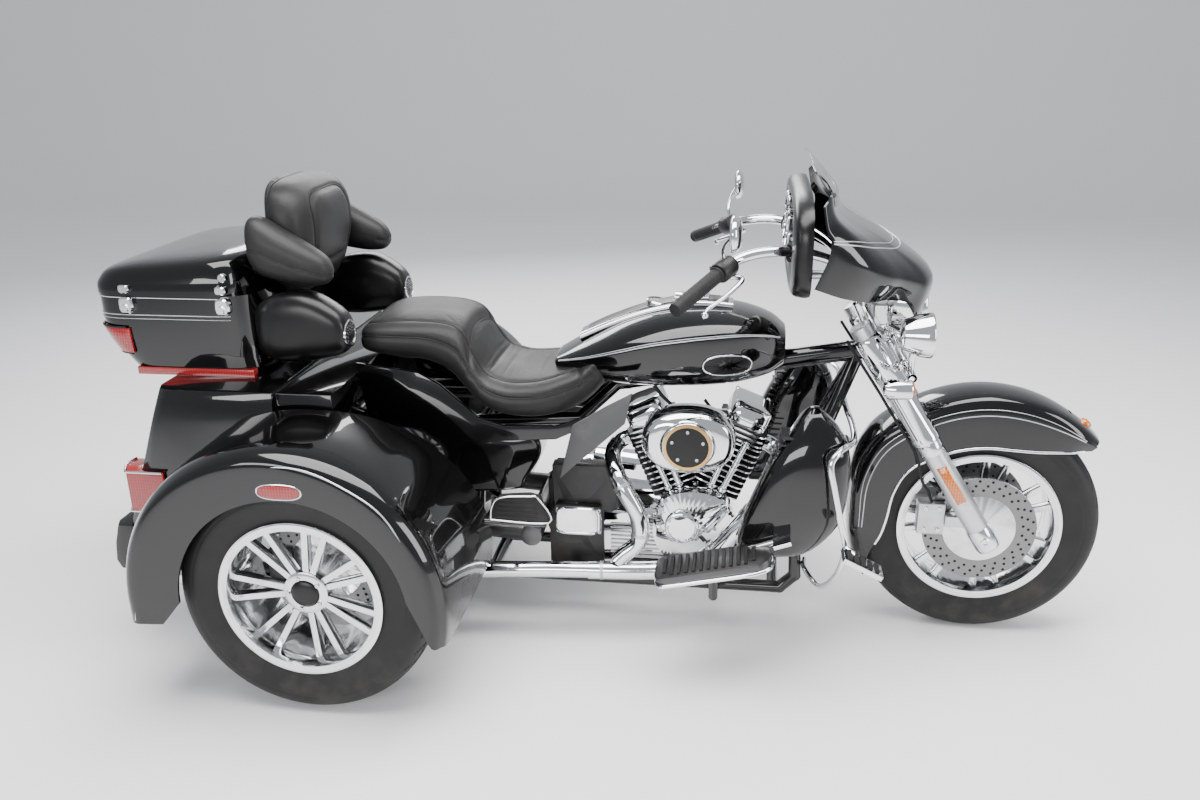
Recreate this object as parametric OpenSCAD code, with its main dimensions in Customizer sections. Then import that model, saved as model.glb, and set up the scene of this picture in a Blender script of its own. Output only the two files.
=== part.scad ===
// Motorized touring trike: a V-twin motorcycle front end on a two-wheel rear axle,
// with a trunk between the rear fenders and a lidded top box behind the seat.
// +X points forwards, +Y to the rider's left and +Z up. The origin is on the ground,
// midway along the overall length.

/* [Overall] */
// Length from the front tyre to the back of the top box
overall_length = 2667; // [2300:1:3200]
// Width across the two rear fenders
overall_width = 1390; // [1150:1:1670]
// Distance between the front and rear axles
wheelbase = 1692; // [1400:1:2040]

/* [Wheels] */
// Outside diameter of the front tyre
front_tyre_d = 640; // [530:1:700]
// Section width of the front tyre
front_tyre_w = 130; // [105:1:140]
// Diameter over the flanges of the front rim
front_rim_d = 433; // [400:1:450]
// Outside diameter of each rear tyre
rear_tyre_d = 647; // [560:1:700]
// Section width of each rear tyre
rear_tyre_w = 205; // [165:1:215]
// Diameter over the flanges of each rear rim
rear_rim_d = 415; // [380:1:440]
// Number of twin spokes in each wheel
spoke_pairs = 7; // [5:1:9]
// Diameter of the front brake discs
front_disc_d = 300; // [240:1:330]
// Diameter of the rear brake discs
rear_disc_d = 292; // [240:1:310]
// Diameter of the front axle
front_axle_d = 25; // [20:1:30]
// Diameter of each rear stub axle
stub_d = 40; // [32:1:48]

/* [Front end] */
// Angle of the steering head from vertical
head_rake = 26; // [22:0.5:30]
// Angle of the fork legs from vertical
fork_angle = 32; // [28:0.5:36]
// Distance that the tyre's contact trails the steering axis on the ground
trail = 99; // [60:1:140]
// Distance between the centres of the fork legs
fork_spread = 232; // [220:1:260]
// Diameter of the fork sliders
slider_d = 60; // [50:1:66]
// Diameter of the steering stem
stem_d = 30; // [25:1:34]
// Diameter of the handlebar tube
bar_d = 25.4; // [22:0.1:32]
// Diameter of the grips
grip_d = 36; // [30:1:42]
// Half the width across the fairing
fairing_half_w = 335; // [300:1:390]
// Thickness of the fairing and fender skins
skin = 5; // [4:0.5:8]

/* [Body] */
// Thickness of the rear fender skins
fender_wall = 7; // [5:0.5:10]
// Gap between a rear tyre and the inside of its fender
tyre_gap = 36; // [25:1:60]
// Height of the trunk's flat top
trunk_top_z = 768; // [740:1:800]
// Thickness of the trunk's walls
trunk_wall = 6; // [4:0.5:10]
// Half the width of the top box
box_half_w = 305; // [260:1:350]
// Height of the top box's floor
box_floor_z = 800; // [790:1:830]
// Height of the seam between top box and lid
box_seam_z = 985; // [950:1:1020]
// Thickness of the top box's walls
box_wall = 5; // [3:0.5:8]
// Height of the passenger seat
pillion_z = 898; // [860:1:930]
// Height of the rider's seat
rider_z = 742; // [720:1:780]
// Half the width of the fuel tank
tank_half_w = 172; // [150:1:200]

/* [Engine] */
// Distance of the crankshaft ahead of the rear axle
crank_ahead = 922; // [880:1:960]
// Height of the crankshaft
crank_z = 274; // [260:1:290]
// Half the angle between the cylinders
half_vee = 22.5; // [20:0.5:26]
// Width across the cooling fins
fin_w = 148; // [130:1:156]
// Number of cooling fins on each cylinder
fin_count = 11; // [7:1:13]
// Diameter of the exhaust pipes
pipe_d = 46; // [38:1:52]
// Diameter of the mufflers
muffler_d = 88; // [70:1:96]
// Diameter of the frame tubes
frame_d = 34; // [28:1:40]

/* [Hidden] */
$fn = 48;

// Gap between parts that seat on each other
seat_gap = 0.3;
// Gap round a shaft in its bore
shaft_gap = 0.1;
// Gap round lids and doors
panel_gap = 5;
// Height of the raised middle of the luggage floors
floor_pad = 2;

front_x = overall_length / 2 - front_tyre_d / 2;
front_z = front_tyre_d / 2;
rear_x = front_x - wheelbase;
rear_z = rear_tyre_d / 2;
tail_x = -overall_length / 2;
fender_y = overall_width / 2;
rear_tyre_y = fender_y - fender_wall - tyre_gap - rear_tyre_w / 2;
tyre_inner_y = rear_tyre_y - rear_tyre_w / 2;
trunk_half_w = tyre_inner_y - 26;
crank_x = rear_x + crank_ahead;
fender_r = rear_z + 86;
fender_x = rear_x - 30;
head_foot_x = front_x + trail;
box_front_x = rear_x - 200;
lid_front_x = rear_x - 232;
// Middle of the side covers' thickness
cover_y = 214;
cover_thick = 12;
black = [0.02, 0.02, 0.022];
chrome = [0.8, 0.81, 0.83];
silver = [0.62, 0.63, 0.65];
leather = [0.05, 0.05, 0.055];
rubber = [0.06, 0.06, 0.065];
red = [0.55, 0.03, 0.03];
clear = [0.75, 0.82, 0.85, 0.35];

// ---------- shape helpers ----------

function flat(lists) = [for (l = lists) each l];
function unit(v) = v / norm(v);
function mix(a, b, t) = a + (b - a) * t;
function backwards(l) = [for (i = [len(l) - 1:-1:0]) l[i]];
function middle(l) = ([for (p = l) 1] * l) / len(l);
function spow(v, e) = sign(v) * pow(abs(v), e);
function mirror_y(l) = [for (p = l) [p.x, -p.y, p.z]];

// A point on the smooth curve between b and c
function curve_point(a, b, c, d, t) =
    0.5 * (2 * b + (c - a) * t + (2 * a - 5 * b + 4 * c - d) * t * t
        + (3 * b - a - 3 * c + d) * t * t * t);

// A smooth curve through points p, with k steps between two of them
function smooth(p, k) = let (n = len(p)) [
    for (i = [0:n - 2], j = [0:k - 1])
        curve_point(p[max(i - 1, 0)], p[i], p[i + 1], p[min(i + 2, n - 1)], j / k),
    p[n - 1]
];

// A squared-off oval of n points, centred on [x, y]; e is 2 for an ellipse and more for a box
function oval(x, y, rx, ry, e = 4, n = 28) = [
    for (i = [0:n - 1]) let (a = 360 * i / n)
        [x + rx * spow(cos(a), 2 / e), y + ry * spow(sin(a), 2 / e)]
];
function at_x(x, pts) = [for (p = pts) [x, p.x, p.y]];
function at_y(y, pts) = [for (p = pts) [p.x, y, p.y]];
function at_z(z, pts) = [for (p = pts) [p.x, p.y, z]];

function side_faces(m, n) = flat([
    for (k = [0:m - 2], i = [0:n - 1])
        let (a = k * n + i, b = k * n + (i + 1) % n) [[a, b, b + n], [a, b + n, a + n]]
]);
function signed_volume(p, f) =
    let (v = [for (t = f) p[t[0]] * cross(p[t[1]], p[t[2]])]) v * [for (x = v) 1];

// A closed solid, its triangles turned to face outwards
module closed_solid(p, f) {
    polyhedron(p, signed_volume(p, f) < 0 ? f : [for (t = f) backwards(t)], convexity = 8);
}

// A solid through closed rings of as many points each
module loft(rings) {
    m = len(rings);
    n = len(rings[0]);
    points = concat(flat(rings), [middle(rings[0]), middle(rings[m - 1])]);
    last = (m - 1) * n;
    first_cap = [for (i = [0:n - 1]) [m * n, (i + 1) % n, i]];
    last_cap = [for (i = [0:n - 1]) [m * n + 1, last + i, last + (i + 1) % n]];
    closed_solid(points, concat(side_faces(m, n), first_cap, last_cap));
}

// A thick sheet: each station is a line of outer points and a line of inner points
module sheet(outer, inner) {
    m = len(outer);
    c = len(outer[0]);
    n = 2 * c;
    rings = [for (i = [0:m - 1]) concat(outer[i], backwards(inner[i]))];
    last = (m - 1) * n;
    first_cap = flat([for (i = [0:c - 2]) [[i + 1, i, n - 1 - i], [i + 1, n - 1 - i, n - 2 - i]]]);
    last_cap = [for (t = first_cap) [last + t[1], last + t[0], last + t[2]]];
    closed_solid(flat(rings), concat(side_faces(m, n), first_cap, last_cap));
}

function tangent(p, i) = unit(p[min(i + 1, len(p) - 1)] - p[max(i - 1, 0)]);
function round_ring(p, t, up, r, n) = let (u = unit(cross(t, up)), v = cross(u, t)) [
    for (i = [0:n - 1]) p + r * cos(360 * i / n) * u + r * sin(360 * i / n) * v
];

// A bent tube along a path
module tube(path, d, up = [0, 0, 1], n = 10) {
    loft([for (i = [0:len(path) - 1]) round_ring(path[i], tangent(path, i), up, d / 2, n)]);
}

// A straight round bar between two points
module rod(a, b, d) {
    v = b - a;
    translate(a) rotate([0, acos(v.z / norm(v)), atan2(v.y, v.x)]) cylinder(h = norm(v), d = d);
}

// A chain of round bars with round knuckles where they meet
module bars(path, d) {
    for (i = [0:len(path) - 2]) rod(path[i], path[i + 1], d);
    for (i = [1:len(path) - 2]) translate(path[i]) sphere(d = d * 1.06);
}

// A cylinder along Y, centred on [x, y, z]
module disc(x, y, z, d, w) {
    translate([x, y, z]) rotate([90, 0, 0]) cylinder(h = w, d = d, center = true);
}

// A plate in the XZ plane, w thick and centred on y
module plate(pts, y, w) {
    translate([0, y + w / 2, 0]) rotate([90, 0, 0]) linear_extrude(w) polygon(pts);
}

module box(lo, hi) {
    translate(lo) cube(hi - lo);
}

module both_sides() {
    children();
    mirror([0, 1, 0]) children();
}

// Points of a line of profile points moved sideways by t
function beside(p, t) = [
    for (i = [0:len(p) - 1]) let (d = unit(p[min(i + 1, len(p) - 1)] - p[max(i - 1, 0)]))
        p[i] + t * [-d.y, d.x]
];

// A point on the fork leg's centre line, s up from the axle
function leg_point(s, y = 0) = [front_x - s * sin(fork_angle), y, front_z + s * cos(fork_angle)];
// A point on the steering axis at height z
function head_point(z) = [head_foot_x - z * tan(head_rake), 0, z];

// ---------- wheels ----------

module tyre(d, w, rim_d, seat_d) {
    r = d / 2;
    wall_r = mix(rim_d / 2, r, 0.42);
    bead = w * 0.43 - seat_gap;
    crown = [for (a = [-90:10:90]) [
        wall_r + (r - wall_r) * pow(cos(a), 0.62),
        w / 2 * spow(sin(a), 0.78)
    ]];
    outline = concat([[seat_d / 2, -bead], [rim_d / 2 + 1.5, -bead]], crown,
        [[rim_d / 2 + 1.5, bead], [seat_d / 2, bead]]);
    color(rubber) rotate([90, 0, 0]) rotate_extrude($fn = 96) polygon(outline);
}

// A rim with its barrel, twin spokes and hub, its outer face towards -Y
module rim(d, seat_d, w, face, hub_d, hub_back, bore_d) {
    flange = 8;
    barrel_in = seat_d / 2 - 8;
    spoke_w = 15;
    spoke_deep = 24;
    pair_gap = 9;
    color(silver) rotate([90, 0, 0]) difference() {
        union() {
            rotate_extrude($fn = 96) polygon([
                [barrel_in, -w / 2], [d / 2, -w / 2], [d / 2, -w / 2 + flange],
                [seat_d / 2 - seat_gap, -w / 2 + flange], [seat_d / 2 - seat_gap, w / 2 - flange],
                [d / 2, w / 2 - flange], [d / 2, w / 2], [barrel_in, w / 2]
            ]);
            for (k = [0:spoke_pairs - 1], s = [-1, 1])
                rotate(360 * (k + 0.5) / spoke_pairs) rotate(s * pair_gap)
                    translate([hub_d / 4, -spoke_w / 2, face - spoke_deep])
                        cube([barrel_in - hub_d / 4 + 3, spoke_w, spoke_deep]);
            translate([0, 0, face - spoke_deep - 6]) cylinder(h = spoke_deep + 10, d = hub_d);
            translate([0, 0, -hub_back]) cylinder(h = hub_back + face - 12, d = hub_d * 0.62);
        }
        translate([0, 0, -hub_back - 1]) cylinder(h = hub_back + face - 14, d = bore_d);
    }
}

module brake_disc(y, d, w, bore_d) {
    rotate([90, 0, 0]) translate([0, 0, -y - w / 2]) difference() {
        cylinder(h = w, d = d, $fn = 96);
        translate([0, 0, -1]) cylinder(h = w + 2, d = bore_d);
    }
}

front_seat_d = front_rim_d - 26;
rear_seat_d = rear_rim_d - 26;
front_disc_y = 66;
front_disc_w = 5;
front_hub_d = 100;
rear_disc_in = 132;
rear_rim_w = rear_tyre_w * 0.86 + 16;

module front_tyre() {
    translate([front_x, 0, front_z]) tyre(front_tyre_d, front_tyre_w, front_rim_d, front_seat_d);
}

module front_rim() {
    rim_w = front_tyre_w * 0.86 + 16;
    half_hub = front_disc_y + 12;
    translate([front_x, 0, front_z]) color(silver) difference() {
        union() {
            rim(front_rim_d, front_seat_d, rim_w, 30, front_hub_d, 20, front_axle_d);
            rotate([90, 0, 0]) cylinder(h = 2 * half_hub, d = 56, center = true);
            for (s = [-1, 1]) brake_disc(s * front_disc_y, front_disc_d, front_disc_w, 20);
        }
        rotate([90, 0, 0])
            cylinder(h = 3 * half_hub, d = front_axle_d + 2 * shaft_gap, center = true);
    }
}

module rear_tyre(side) {
    translate([rear_x, side * rear_tyre_y, rear_z])
        tyre(rear_tyre_d, rear_tyre_w, rear_rim_d, rear_seat_d);
}

// Built for the right-hand side, whose outer face looks to -Y
module rear_rim_solid() {
    color(silver) translate([rear_x, -rear_tyre_y, rear_z]) {
        rim(rear_rim_d, rear_seat_d, rear_rim_w, rear_rim_w / 2 - 42, 112, 92, stub_d + 2 * shaft_gap);
        brake_disc(rear_rim_w / 2 - 12, rear_disc_d, 8, stub_d + 2 * shaft_gap);
    }
}

module rear_tyre_right() rear_tyre(-1);
module rear_tyre_left() rear_tyre(1);
module rear_rim_right() rear_rim_solid();
module rear_rim_left() mirror([0, 1, 0]) rear_rim_solid();

// ---------- rear axle, brakes and swingarm ----------

pivot_x = crank_x - 446 - seat_gap;
pivot_z = 292;

module rear_axle() {
    housing_d = 84;
    centre_d = 190;
    hub_in = rear_tyre_y - 92;
    stub_end = rear_tyre_y + 20;
    arm_y = 162;
    disc_y = rear_tyre_y - rear_rim_w / 2 + 12;
    color([0.25, 0.25, 0.26]) {
        disc(rear_x, 0, rear_z, housing_d, 2 * (hub_in - 26));
        disc(rear_x, 30, rear_z, centre_d, 90);
        both_sides() {
            disc(rear_x, (hub_in + stub_end) / 2 - 30, rear_z, stub_d, stub_end - hub_in + 60);
            rod([rear_x, arm_y, rear_z], [pivot_x, arm_y, pivot_z], 56);
        }
        disc(pivot_x, 0, pivot_z, 60, 2 * arm_y + 60);
    }
    // Callipers over the back of each disc, on arms from the housing
    color(silver) both_sides() difference() {
        translate([rear_x - rear_disc_d / 2 - 4, disc_y - 24, rear_z - 44]) cube([58, 48, 88]);
        translate([rear_x - rear_disc_d / 2 - 3, disc_y - 6, rear_z - 50]) cube([90, 12, 100]);
    }
    color([0.25, 0.25, 0.26]) both_sides()
        rod([rear_x - 20, hub_in - 36, rear_z + 8], [rear_x - rear_disc_d / 2 + 14, disc_y - 18, rear_z], 26);
}

// ---------- frame ----------

rail_y = 112;
rail_z = 132;
rail_rear_x = rear_x + 340;
neck_low_z = 738;
neck_high_z = 842;
neck_d = 54;

board_x = rear_x + 406;
board_y = 346;
board_z = 424;
board_thick = 22;
board_pin_d = 16;

module frame() {
    seat_rail_z = 600;
    down_top = head_point(neck_high_z - 62) + [-70, 14, 0];
    down_foot = [crank_x + 282, rail_y, rail_z + 40];
    backbone_back = [rear_x + 700, 0, 690];
    tail_front_x = rear_x - 96;
    tail_end_x = rear_x - 380;
    tail_z = trunk_floor_z - trunk_wall - frame_d / 2 - seat_gap;
    hinge_y = board_y + board_thick / 2 + seat_gap;
    hinge_z = board_z - board_pin_d / 2 - seat_gap;
    color(black) difference() {
        union() {
            rod(head_point(neck_low_z), head_point(neck_high_z), neck_d);
            rod(head_point(neck_high_z - 34), backbone_back, neck_d);
            both_sides() {
                bars([
                    down_top, [down_foot.x - 10, rail_y, 420], down_foot,
                    [down_foot.x - 40, rail_y, rail_z], [rail_rear_x, rail_y, rail_z],
                    [rail_rear_x - 40, rail_y, rail_z + 60], [rear_x + 330, rail_y, seat_rail_z],
                    [tail_front_x, rail_y, seat_rail_z], [tail_front_x, rail_y, tail_z],
                    [tail_end_x, rail_y, tail_z]
                ], frame_d);
                bars([[rear_x + 330, rail_y, seat_rail_z], [rear_x + 600, 64, seat_rail_z],
                    backbone_back + [6, 6, 0]], frame_d);
                // The bracket that reaches out to a passenger board and ends as its hinge pin
                bars([[rear_x + 316, rail_y, 408], [board_x - 8, 196, 408],
                    [board_x - 12, hinge_y, hinge_z], [board_x + 150, hinge_y, hinge_z]], board_pin_d);
            }
            for (p = [[down_foot.x - 60, rail_z], [crank_x + 70, rail_z], [crank_x - 340, rail_z],
                [rail_rear_x, rail_z], [rear_x + 332, seat_rail_z], [tail_end_x + 40, tail_z]])
                rod([p.x, -rail_y, p.y], [p.x, rail_y, p.y], frame_d);
        }
        rod(head_point(neck_low_z - 10), head_point(neck_high_z + 10), stem_d + 2 * shaft_gap);
    }
}

// ---------- engine and gearbox ----------

// How far the feet of the pushrod tubes stand from the crankshaft
pushrod_foot = 148;
intake_z = crank_z + 322;
intake_x = crank_x - 15;
intake_d = 40;

module engine_cases() {
    case_d = 236;
    low_z = rail_z + frame_d / 2 + seat_gap;
    cam = [[-104, 8], [-100, 96], [-78, 150], [78, 150], [92, 100], [66, 20], [20, -8], [-70, -10]];
    color(silver) {
        disc(crank_x, 0, crank_z, case_d, 156);
        box([crank_x - 260, -66, low_z], [crank_x - 60, 66, crank_z + 40]);
        box([crank_x + 40, -60, low_z], [crank_x + 100, 60, crank_z + 60]);
    }
    color(chrome) {
        intersection() {
            plate([for (p = cam) [crank_x + p.x, crank_z + p.y]], -106, 60);
            disc(crank_x, -106, crank_z, 2 * (pushrod_foot - seat_gap), 62);
        }
        disc(crank_x - 32, -142, crank_z + 46, 94, 16);
        disc(crank_x + 186, 0, crank_z - 18, 78, 90);
        rod([crank_x + 100, 0, crank_z - 18], [crank_x + 160, 0, crank_z - 18], 60);
    }
}

module cylinder_solid() {
    base = 104;
    pitch = 17.5;
    fin_top = base + fin_count * pitch;
    color(black) {
        translate([0, 0, base]) cylinder(h = fin_count * pitch + 4, d = 112);
        for (i = [0:fin_count - 1]) translate([0, 0, base + 10 + i * pitch])
            linear_extrude(6) intersection() {
                square(fin_w, center = true);
                circle(d = fin_w * 1.2);
            }
    }
    color(silver) translate([0, 0, fin_top]) linear_extrude(52) intersection() {
        square([fin_w - 14, fin_w + 4], center = true);
        circle(d = fin_w * 1.16);
    }
    color(chrome) translate([0, 0, fin_top + 52]) linear_extrude(56) intersection() {
        square([fin_w - 34, fin_w + 14], center = true);
        circle(d = fin_w * 1.14);
    }
    // Pushrod tubes on the right-hand side
    for (x = [-20, 20]) rod([x * 0.8, -86, pushrod_foot], [x, -80, fin_top + 16], 20);
}

module cylinders() {
    for (a = [-half_vee, half_vee])
        translate([crank_x, 0, crank_z]) rotate([0, a, 0]) difference() {
            cylinder_solid();
            translate([-200, -200, -200]) cube([400, 400, 318]);
        }
    // The intake pipe between the heads
    color(silver) rod([crank_x - 80, 0, intake_z], [crank_x + 80, 0, intake_z], intake_d);
}

module air_cleaner() {
    z = crank_z + 323;
    x = intake_x;
    y = -142;
    color(chrome) loft([
        at_y(y, oval(x, z, 118, 84, 2.3)), at_y(y - 30, oval(x, z, 123, 88, 2.3)),
        at_y(y - 64, oval(x, z, 121, 86, 2.3)), at_y(y - 86, oval(x, z, 108, 74, 2.2)),
        at_y(y - 98, oval(x, z, 84, 66, 2.1)), at_y(y - 102, oval(x, z, 60, 60, 2))
    ]);
    color(black) rod([x, -intake_d / 2 - seat_gap, intake_z], [x, y - 4, intake_z], 56);
}

module primary_cover() {
    z = crank_z + 14;
    back_x = crank_x - 320;
    color(chrome) translate([0, 196, 0]) rotate([90, 0, 0]) linear_extrude(116 - seat_gap) union() {
        translate([crank_x, z]) circle(r = 108);
        translate([back_x, z + 22]) circle(r = 96);
        polygon([[crank_x + 8, z + 107], [back_x + 6, z + 118], [back_x - 6, z - 74], [crank_x - 8, z - 107]]);
    }
    color(chrome) disc(back_x, 200, z + 22, 150, 16);
    color(chrome) disc(crank_x, 200, z, 120, 12);
}

module transmission() {
    x0 = crank_x - 416;
    color(silver) box([x0, -70, rail_z + frame_d / 2 + seat_gap], [crank_x - 260 - seat_gap, 80, crank_z + 140]);
    color(silver) disc(x0 + 70, -96, crank_z + 30, 128, 56);
    color(chrome) box([x0 + 30, -140, crank_z + 4], [x0 + 158, -118, crank_z + 90]);
    color(black) box([x0 + 20, -112, crank_z + 70], [x0 + 200, -70, crank_z + 200]);
}

function right_pipe(x, z, y = -196) = [crank_x + x, y, crank_z + z];

module exhaust() {
    low_z = 208;
    muffler_y = 300;
    muffler_front = rear_x - 60;
    muffler_back = rear_x - 520;
    // The front cylinder's pipe runs under the engine to the right-hand muffler
    main_pipe = smooth([
        right_pipe(184.3, 268, -40), right_pipe(191.7, 264.9, -40), right_pipe(199.1, 261.9, -40),
        right_pipe(216.7, 252.2, -52), right_pipe(225.9, 243, -84), right_pipe(228, 232.4, -124),
        right_pipe(214.3, 210, -162), right_pipe(186, 166, -192), right_pipe(126, 90), right_pipe(66, 14), right_pipe(0, -34),
        right_pipe(-90, -58, -204), right_pipe(-262, -62, -216),
        right_pipe(-420, -66, -224), [rear_x + 280, -236, low_z - 12],
        [rear_x + 120, -270, low_z - 26], [muffler_front + seat_gap, -muffler_y, low_z - 30]
    ], 3);
    rear_header = smooth([
        right_pipe(-184.3, 268, -40), right_pipe(-191.7, 264.9, -40), right_pipe(-199.1, 261.9, -40),
        right_pipe(-216.7, 252.2, -52), right_pipe(-225.9, 243, -84), right_pipe(-224, 230, -124),
        right_pipe(-210, 208, -162), right_pipe(-184, 170, -190), right_pipe(-146, 98),
        right_pipe(-144, 26, -200), right_pipe(-186, -16, -206), right_pipe(-206, -35, -210)
    ], 3);
    cross_pipe = smooth([
        [rear_x + 220, -222.1, low_z - 21], [rear_x + 210, -100, low_z - 62], [rear_x + 210, 100, low_z - 62],
        [rear_x + 150, 250, low_z - 40], [muffler_front + seat_gap, muffler_y, low_z - 30]
    ], 3);
    color(chrome) {
        tube(main_pipe, pipe_d, [0.1, 1, 0.1]);
        tube(rear_header, pipe_d, [1, 0, 0.2]);
        tube(cross_pipe, pipe_d - 4);
        both_sides()
            rod([muffler_front, -muffler_y, low_z - 30], [muffler_back, -muffler_y, low_z - 30], muffler_d);
    }
}

// ---------- tank, seat and side covers ----------

// Each row is x ahead of the rear axle, half width, underside height, crease height and top height
tank_rows = [
    [536, 74, 742, 764, 776], [580, 104, 724, 776, 802], [640, 132, 710, 792, 836],
    [720, 158, 704, 816, 876], [800, 170, 701, 838, 902], [880, 172, 702, 852, 916],
    [960, 166, 706, 862, 918], [1040, 146, 716, 866, 908], [1110, 110, 736, 858, 886],
    [1150, 70, 760, 840, 858]
];
function tank_ring(r) = let (k = tank_half_w / 172, w = r[1] * k) at_x(rear_x + r[0], concat(
    [for (i = [0:7]) let (a = -90 + 90 * i / 8)
        [w * pow(cos(a), 0.55), r[3] + (r[3] - r[2]) * sin(a)]],
    [for (i = [0:15]) let (a = 180 * i / 16)
        [w * spow(cos(a), 0.9), r[3] + (r[4] - r[3]) * pow(sin(a), 1.1)]],
    [for (i = [0:7]) let (a = 180 + 90 * i / 8)
        [-w * pow(-cos(a), 0.55), r[3] + (r[3] - r[2]) * sin(a)]]
));

module fuel_tank() {
    color(black) difference() {
        loft([for (r = smooth(tank_rows, 2)) tank_ring(r)]);
        // The tunnel over the frame's backbone
        rod(head_point(neck_high_z - 34), [rear_x + 520, 0, 659.6], neck_d + 2 * seat_gap);
    }
}

// Each row is x ahead of the rear axle, half width and top height of the console
console_rows = [
    [600, 40, 830], [680, 44, 868], [780, 46, 905], [880, 46, 927], [960, 42, 928], [1010, 34, 922]
];
function console_ring(r) = at_x(rear_x + r[0], oval(0, r[2] - 6, r[1], 11, 4, 16));

module tank_console() {
    color(chrome) intersection() {
        loft([for (r = smooth(console_rows, 2)) console_ring(r)]);
        // Seated on the tank: only what stands above its skin
        difference() {
            box([rear_x + 590, -60, 780], [rear_x + 1030, 60, 980]);
            loft([for (r = smooth(tank_rows, 2)) tank_ring(r + [0, 0, 0, 0, seat_gap])]);
        }
    }
}

module fuel_door() {
    x = rear_x + 900;
    z = 934.6;
    color(chrome) box([x - 46, -30, z], [x + 46, 30, z + 6]);
}

// Each row is x ahead of the rear axle, half width, underside height and top height
seat_rows = [
    [14, 120, 830, 846], [26, 164, 800, 876], [60, 182, 790, 892], [120, 186, 780, pillion_z],
    [200, 184, 772, pillion_z + 2], [262, 180, 740, pillion_z - 6], [298, 184, 700, 872],
    [330, 192, 672, 812], [362, 200, 652, 764], [420, 204, 632, rider_z], [500, 202, 628, rider_z + 4],
    [570, 186, 640, rider_z + 22], [630, 160, 668, 786], [676, 128, 716, 834], [692, 96, 760, 850]
];
function seat_ring(r) = let (mid = (r[2] + r[3]) / 2, up = r[3] - mid)
    at_x(rear_x + r[0], [for (i = [0:27]) let (a = 360 * i / 28)
        [r[1] * spow(cos(a), 0.55), mid + up * spow(sin(a), 0.62)]]);

module seat() {
    color(leather) difference() {
        loft([for (r = seat_rows) seat_ring(r)]);
        // The nose is hollowed where it sits over the back of the tank
        loft([for (r = smooth(tank_rows, 2)) tank_ring(r + [0, 4, -8, 0, 1.2])]);
    }
}

module backrest() {
    back_x = lid_front_x + 7;
    front_x = box_front_x + seat_gap;
    // Each row is height, half width, how far the pad reaches forwards of the box lid, and its back
    pad = [
        [936, 92, 60, front_x], [960, 140, 96, front_x], [box_seam_z + seat_gap, 156, 112, front_x],
        [box_seam_z + 8, 160, 117, back_x], [1020, 172, 130, back_x], [1100, 190, 148, back_x],
        [1170, 190, 144, back_x], [1222, 168, 120, back_x], [1246, 118, 86, back_x + 4],
        [1253, 62, 46, back_x + 14]
    ];
    // Each row is x ahead of the pad's back, height of the middle, half width and half height
    arm = [
        [4, 1096, 24, 30], [24, 1086, 44, 50], [84, 1068, 47, 54], [150, 1050, 44, 46],
        [200, 1040, 30, 30], [216, 1037, 12, 12]
    ];
    color(leather) {
        loft([for (r = pad) let (front = back_x + r[2])
            at_z(r[0], oval((r[3] + front) / 2, 0, (front - r[3]) / 2, r[1], 2.6))]);
        both_sides() loft([for (r = arm) at_x(back_x + r[0], oval(226, r[1], r[2], r[3], 2.4, 20))]);
    }
}

module side_covers() {
    y = cover_y;
    pts = [
        [28, 790], [196, 768], [250, 738], [330, 668], [352, 648], [420, 628], [560, 632], [640, 662],
        [652, 640], [560, 596], [420, 586], [300, 566], [270, 470], [230, 440], [120, 470], [60, 560]
    ];
    color(black) both_sides()
        plate([for (p = pts) [rear_x + p.x, p.y - seat_gap]], y, cover_thick);
    color(black) both_sides() rod([rear_x + 300, y, 600], [rear_x + 300, rail_y + frame_d / 2 + seat_gap, 600], 20);
}

// ---------- trunk and fenders ----------

// The tub stands behind the axle housing, and a shelf reaches forwards over it
trunk_front_x = rear_x - 122;
shelf_front_x = rear_x + 24;
shelf_z = 640;
trunk_floor_z = 384;
door_half_w = 330;
door_low_z = 408;
door_high_z = 738;
// Places on the sloping rear face: x behind the rear axle against height
function rear_face_x(z) = tail_x + 58 + (z - 330) * 0.36;

module trunk_shell(inset, low_z, high_z) {
    w = trunk_half_w - inset;
    front = trunk_front_x - inset;
    levels = [low_z, 440, 560, 680, 740, high_z];
    loft([for (z = levels) let (back = rear_face_x(z) + inset, shrink = z > 700 ? (z - 700) * 0.12 : 0)
        at_z(z, [
            [front, -w + shrink], [front, w - shrink], [(front + back) / 2, w - shrink], [back + 40, w - shrink],
            [back + 12, w - 12 - shrink], [back, w - 40 - shrink], [back, -w + 40 + shrink],
            [back + 12, -w + 12 + shrink], [back + 40, -w + shrink], [(front + back) / 2, -w + shrink]
        ])]);
}

module trunk_body() {
    color(black) difference() {
        trunk_shell(0, trunk_floor_z - trunk_wall, trunk_top_z);
        trunk_shell(trunk_wall, trunk_floor_z, trunk_top_z - trunk_wall);
        // The door's opening through the rear wall
        box([tail_x - 50, -door_half_w, door_low_z], [tail_x + 330, door_half_w, door_high_z]);
    }
    color(black) box([trunk_front_x - 305, 26 - trunk_half_w, trunk_floor_z - 2],
        [trunk_front_x - 12, trunk_half_w - 26, trunk_floor_z + floor_pad]);
    color(black) box([trunk_front_x - trunk_wall / 2, -trunk_half_w + 30, shelf_z], [shelf_front_x, trunk_half_w - 30, trunk_top_z - 8]);
}

module trunk_door() {
    g = panel_gap;
    color(black) intersection() {
        box([tail_x - 50, -door_half_w + g, door_low_z + seat_gap], [tail_x + 330, door_half_w - g, door_high_z - g]);
        difference() {
            trunk_shell(0, 378, trunk_top_z);
            trunk_shell(trunk_wall, 370, trunk_top_z + 10);
        }
    }
}

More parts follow.
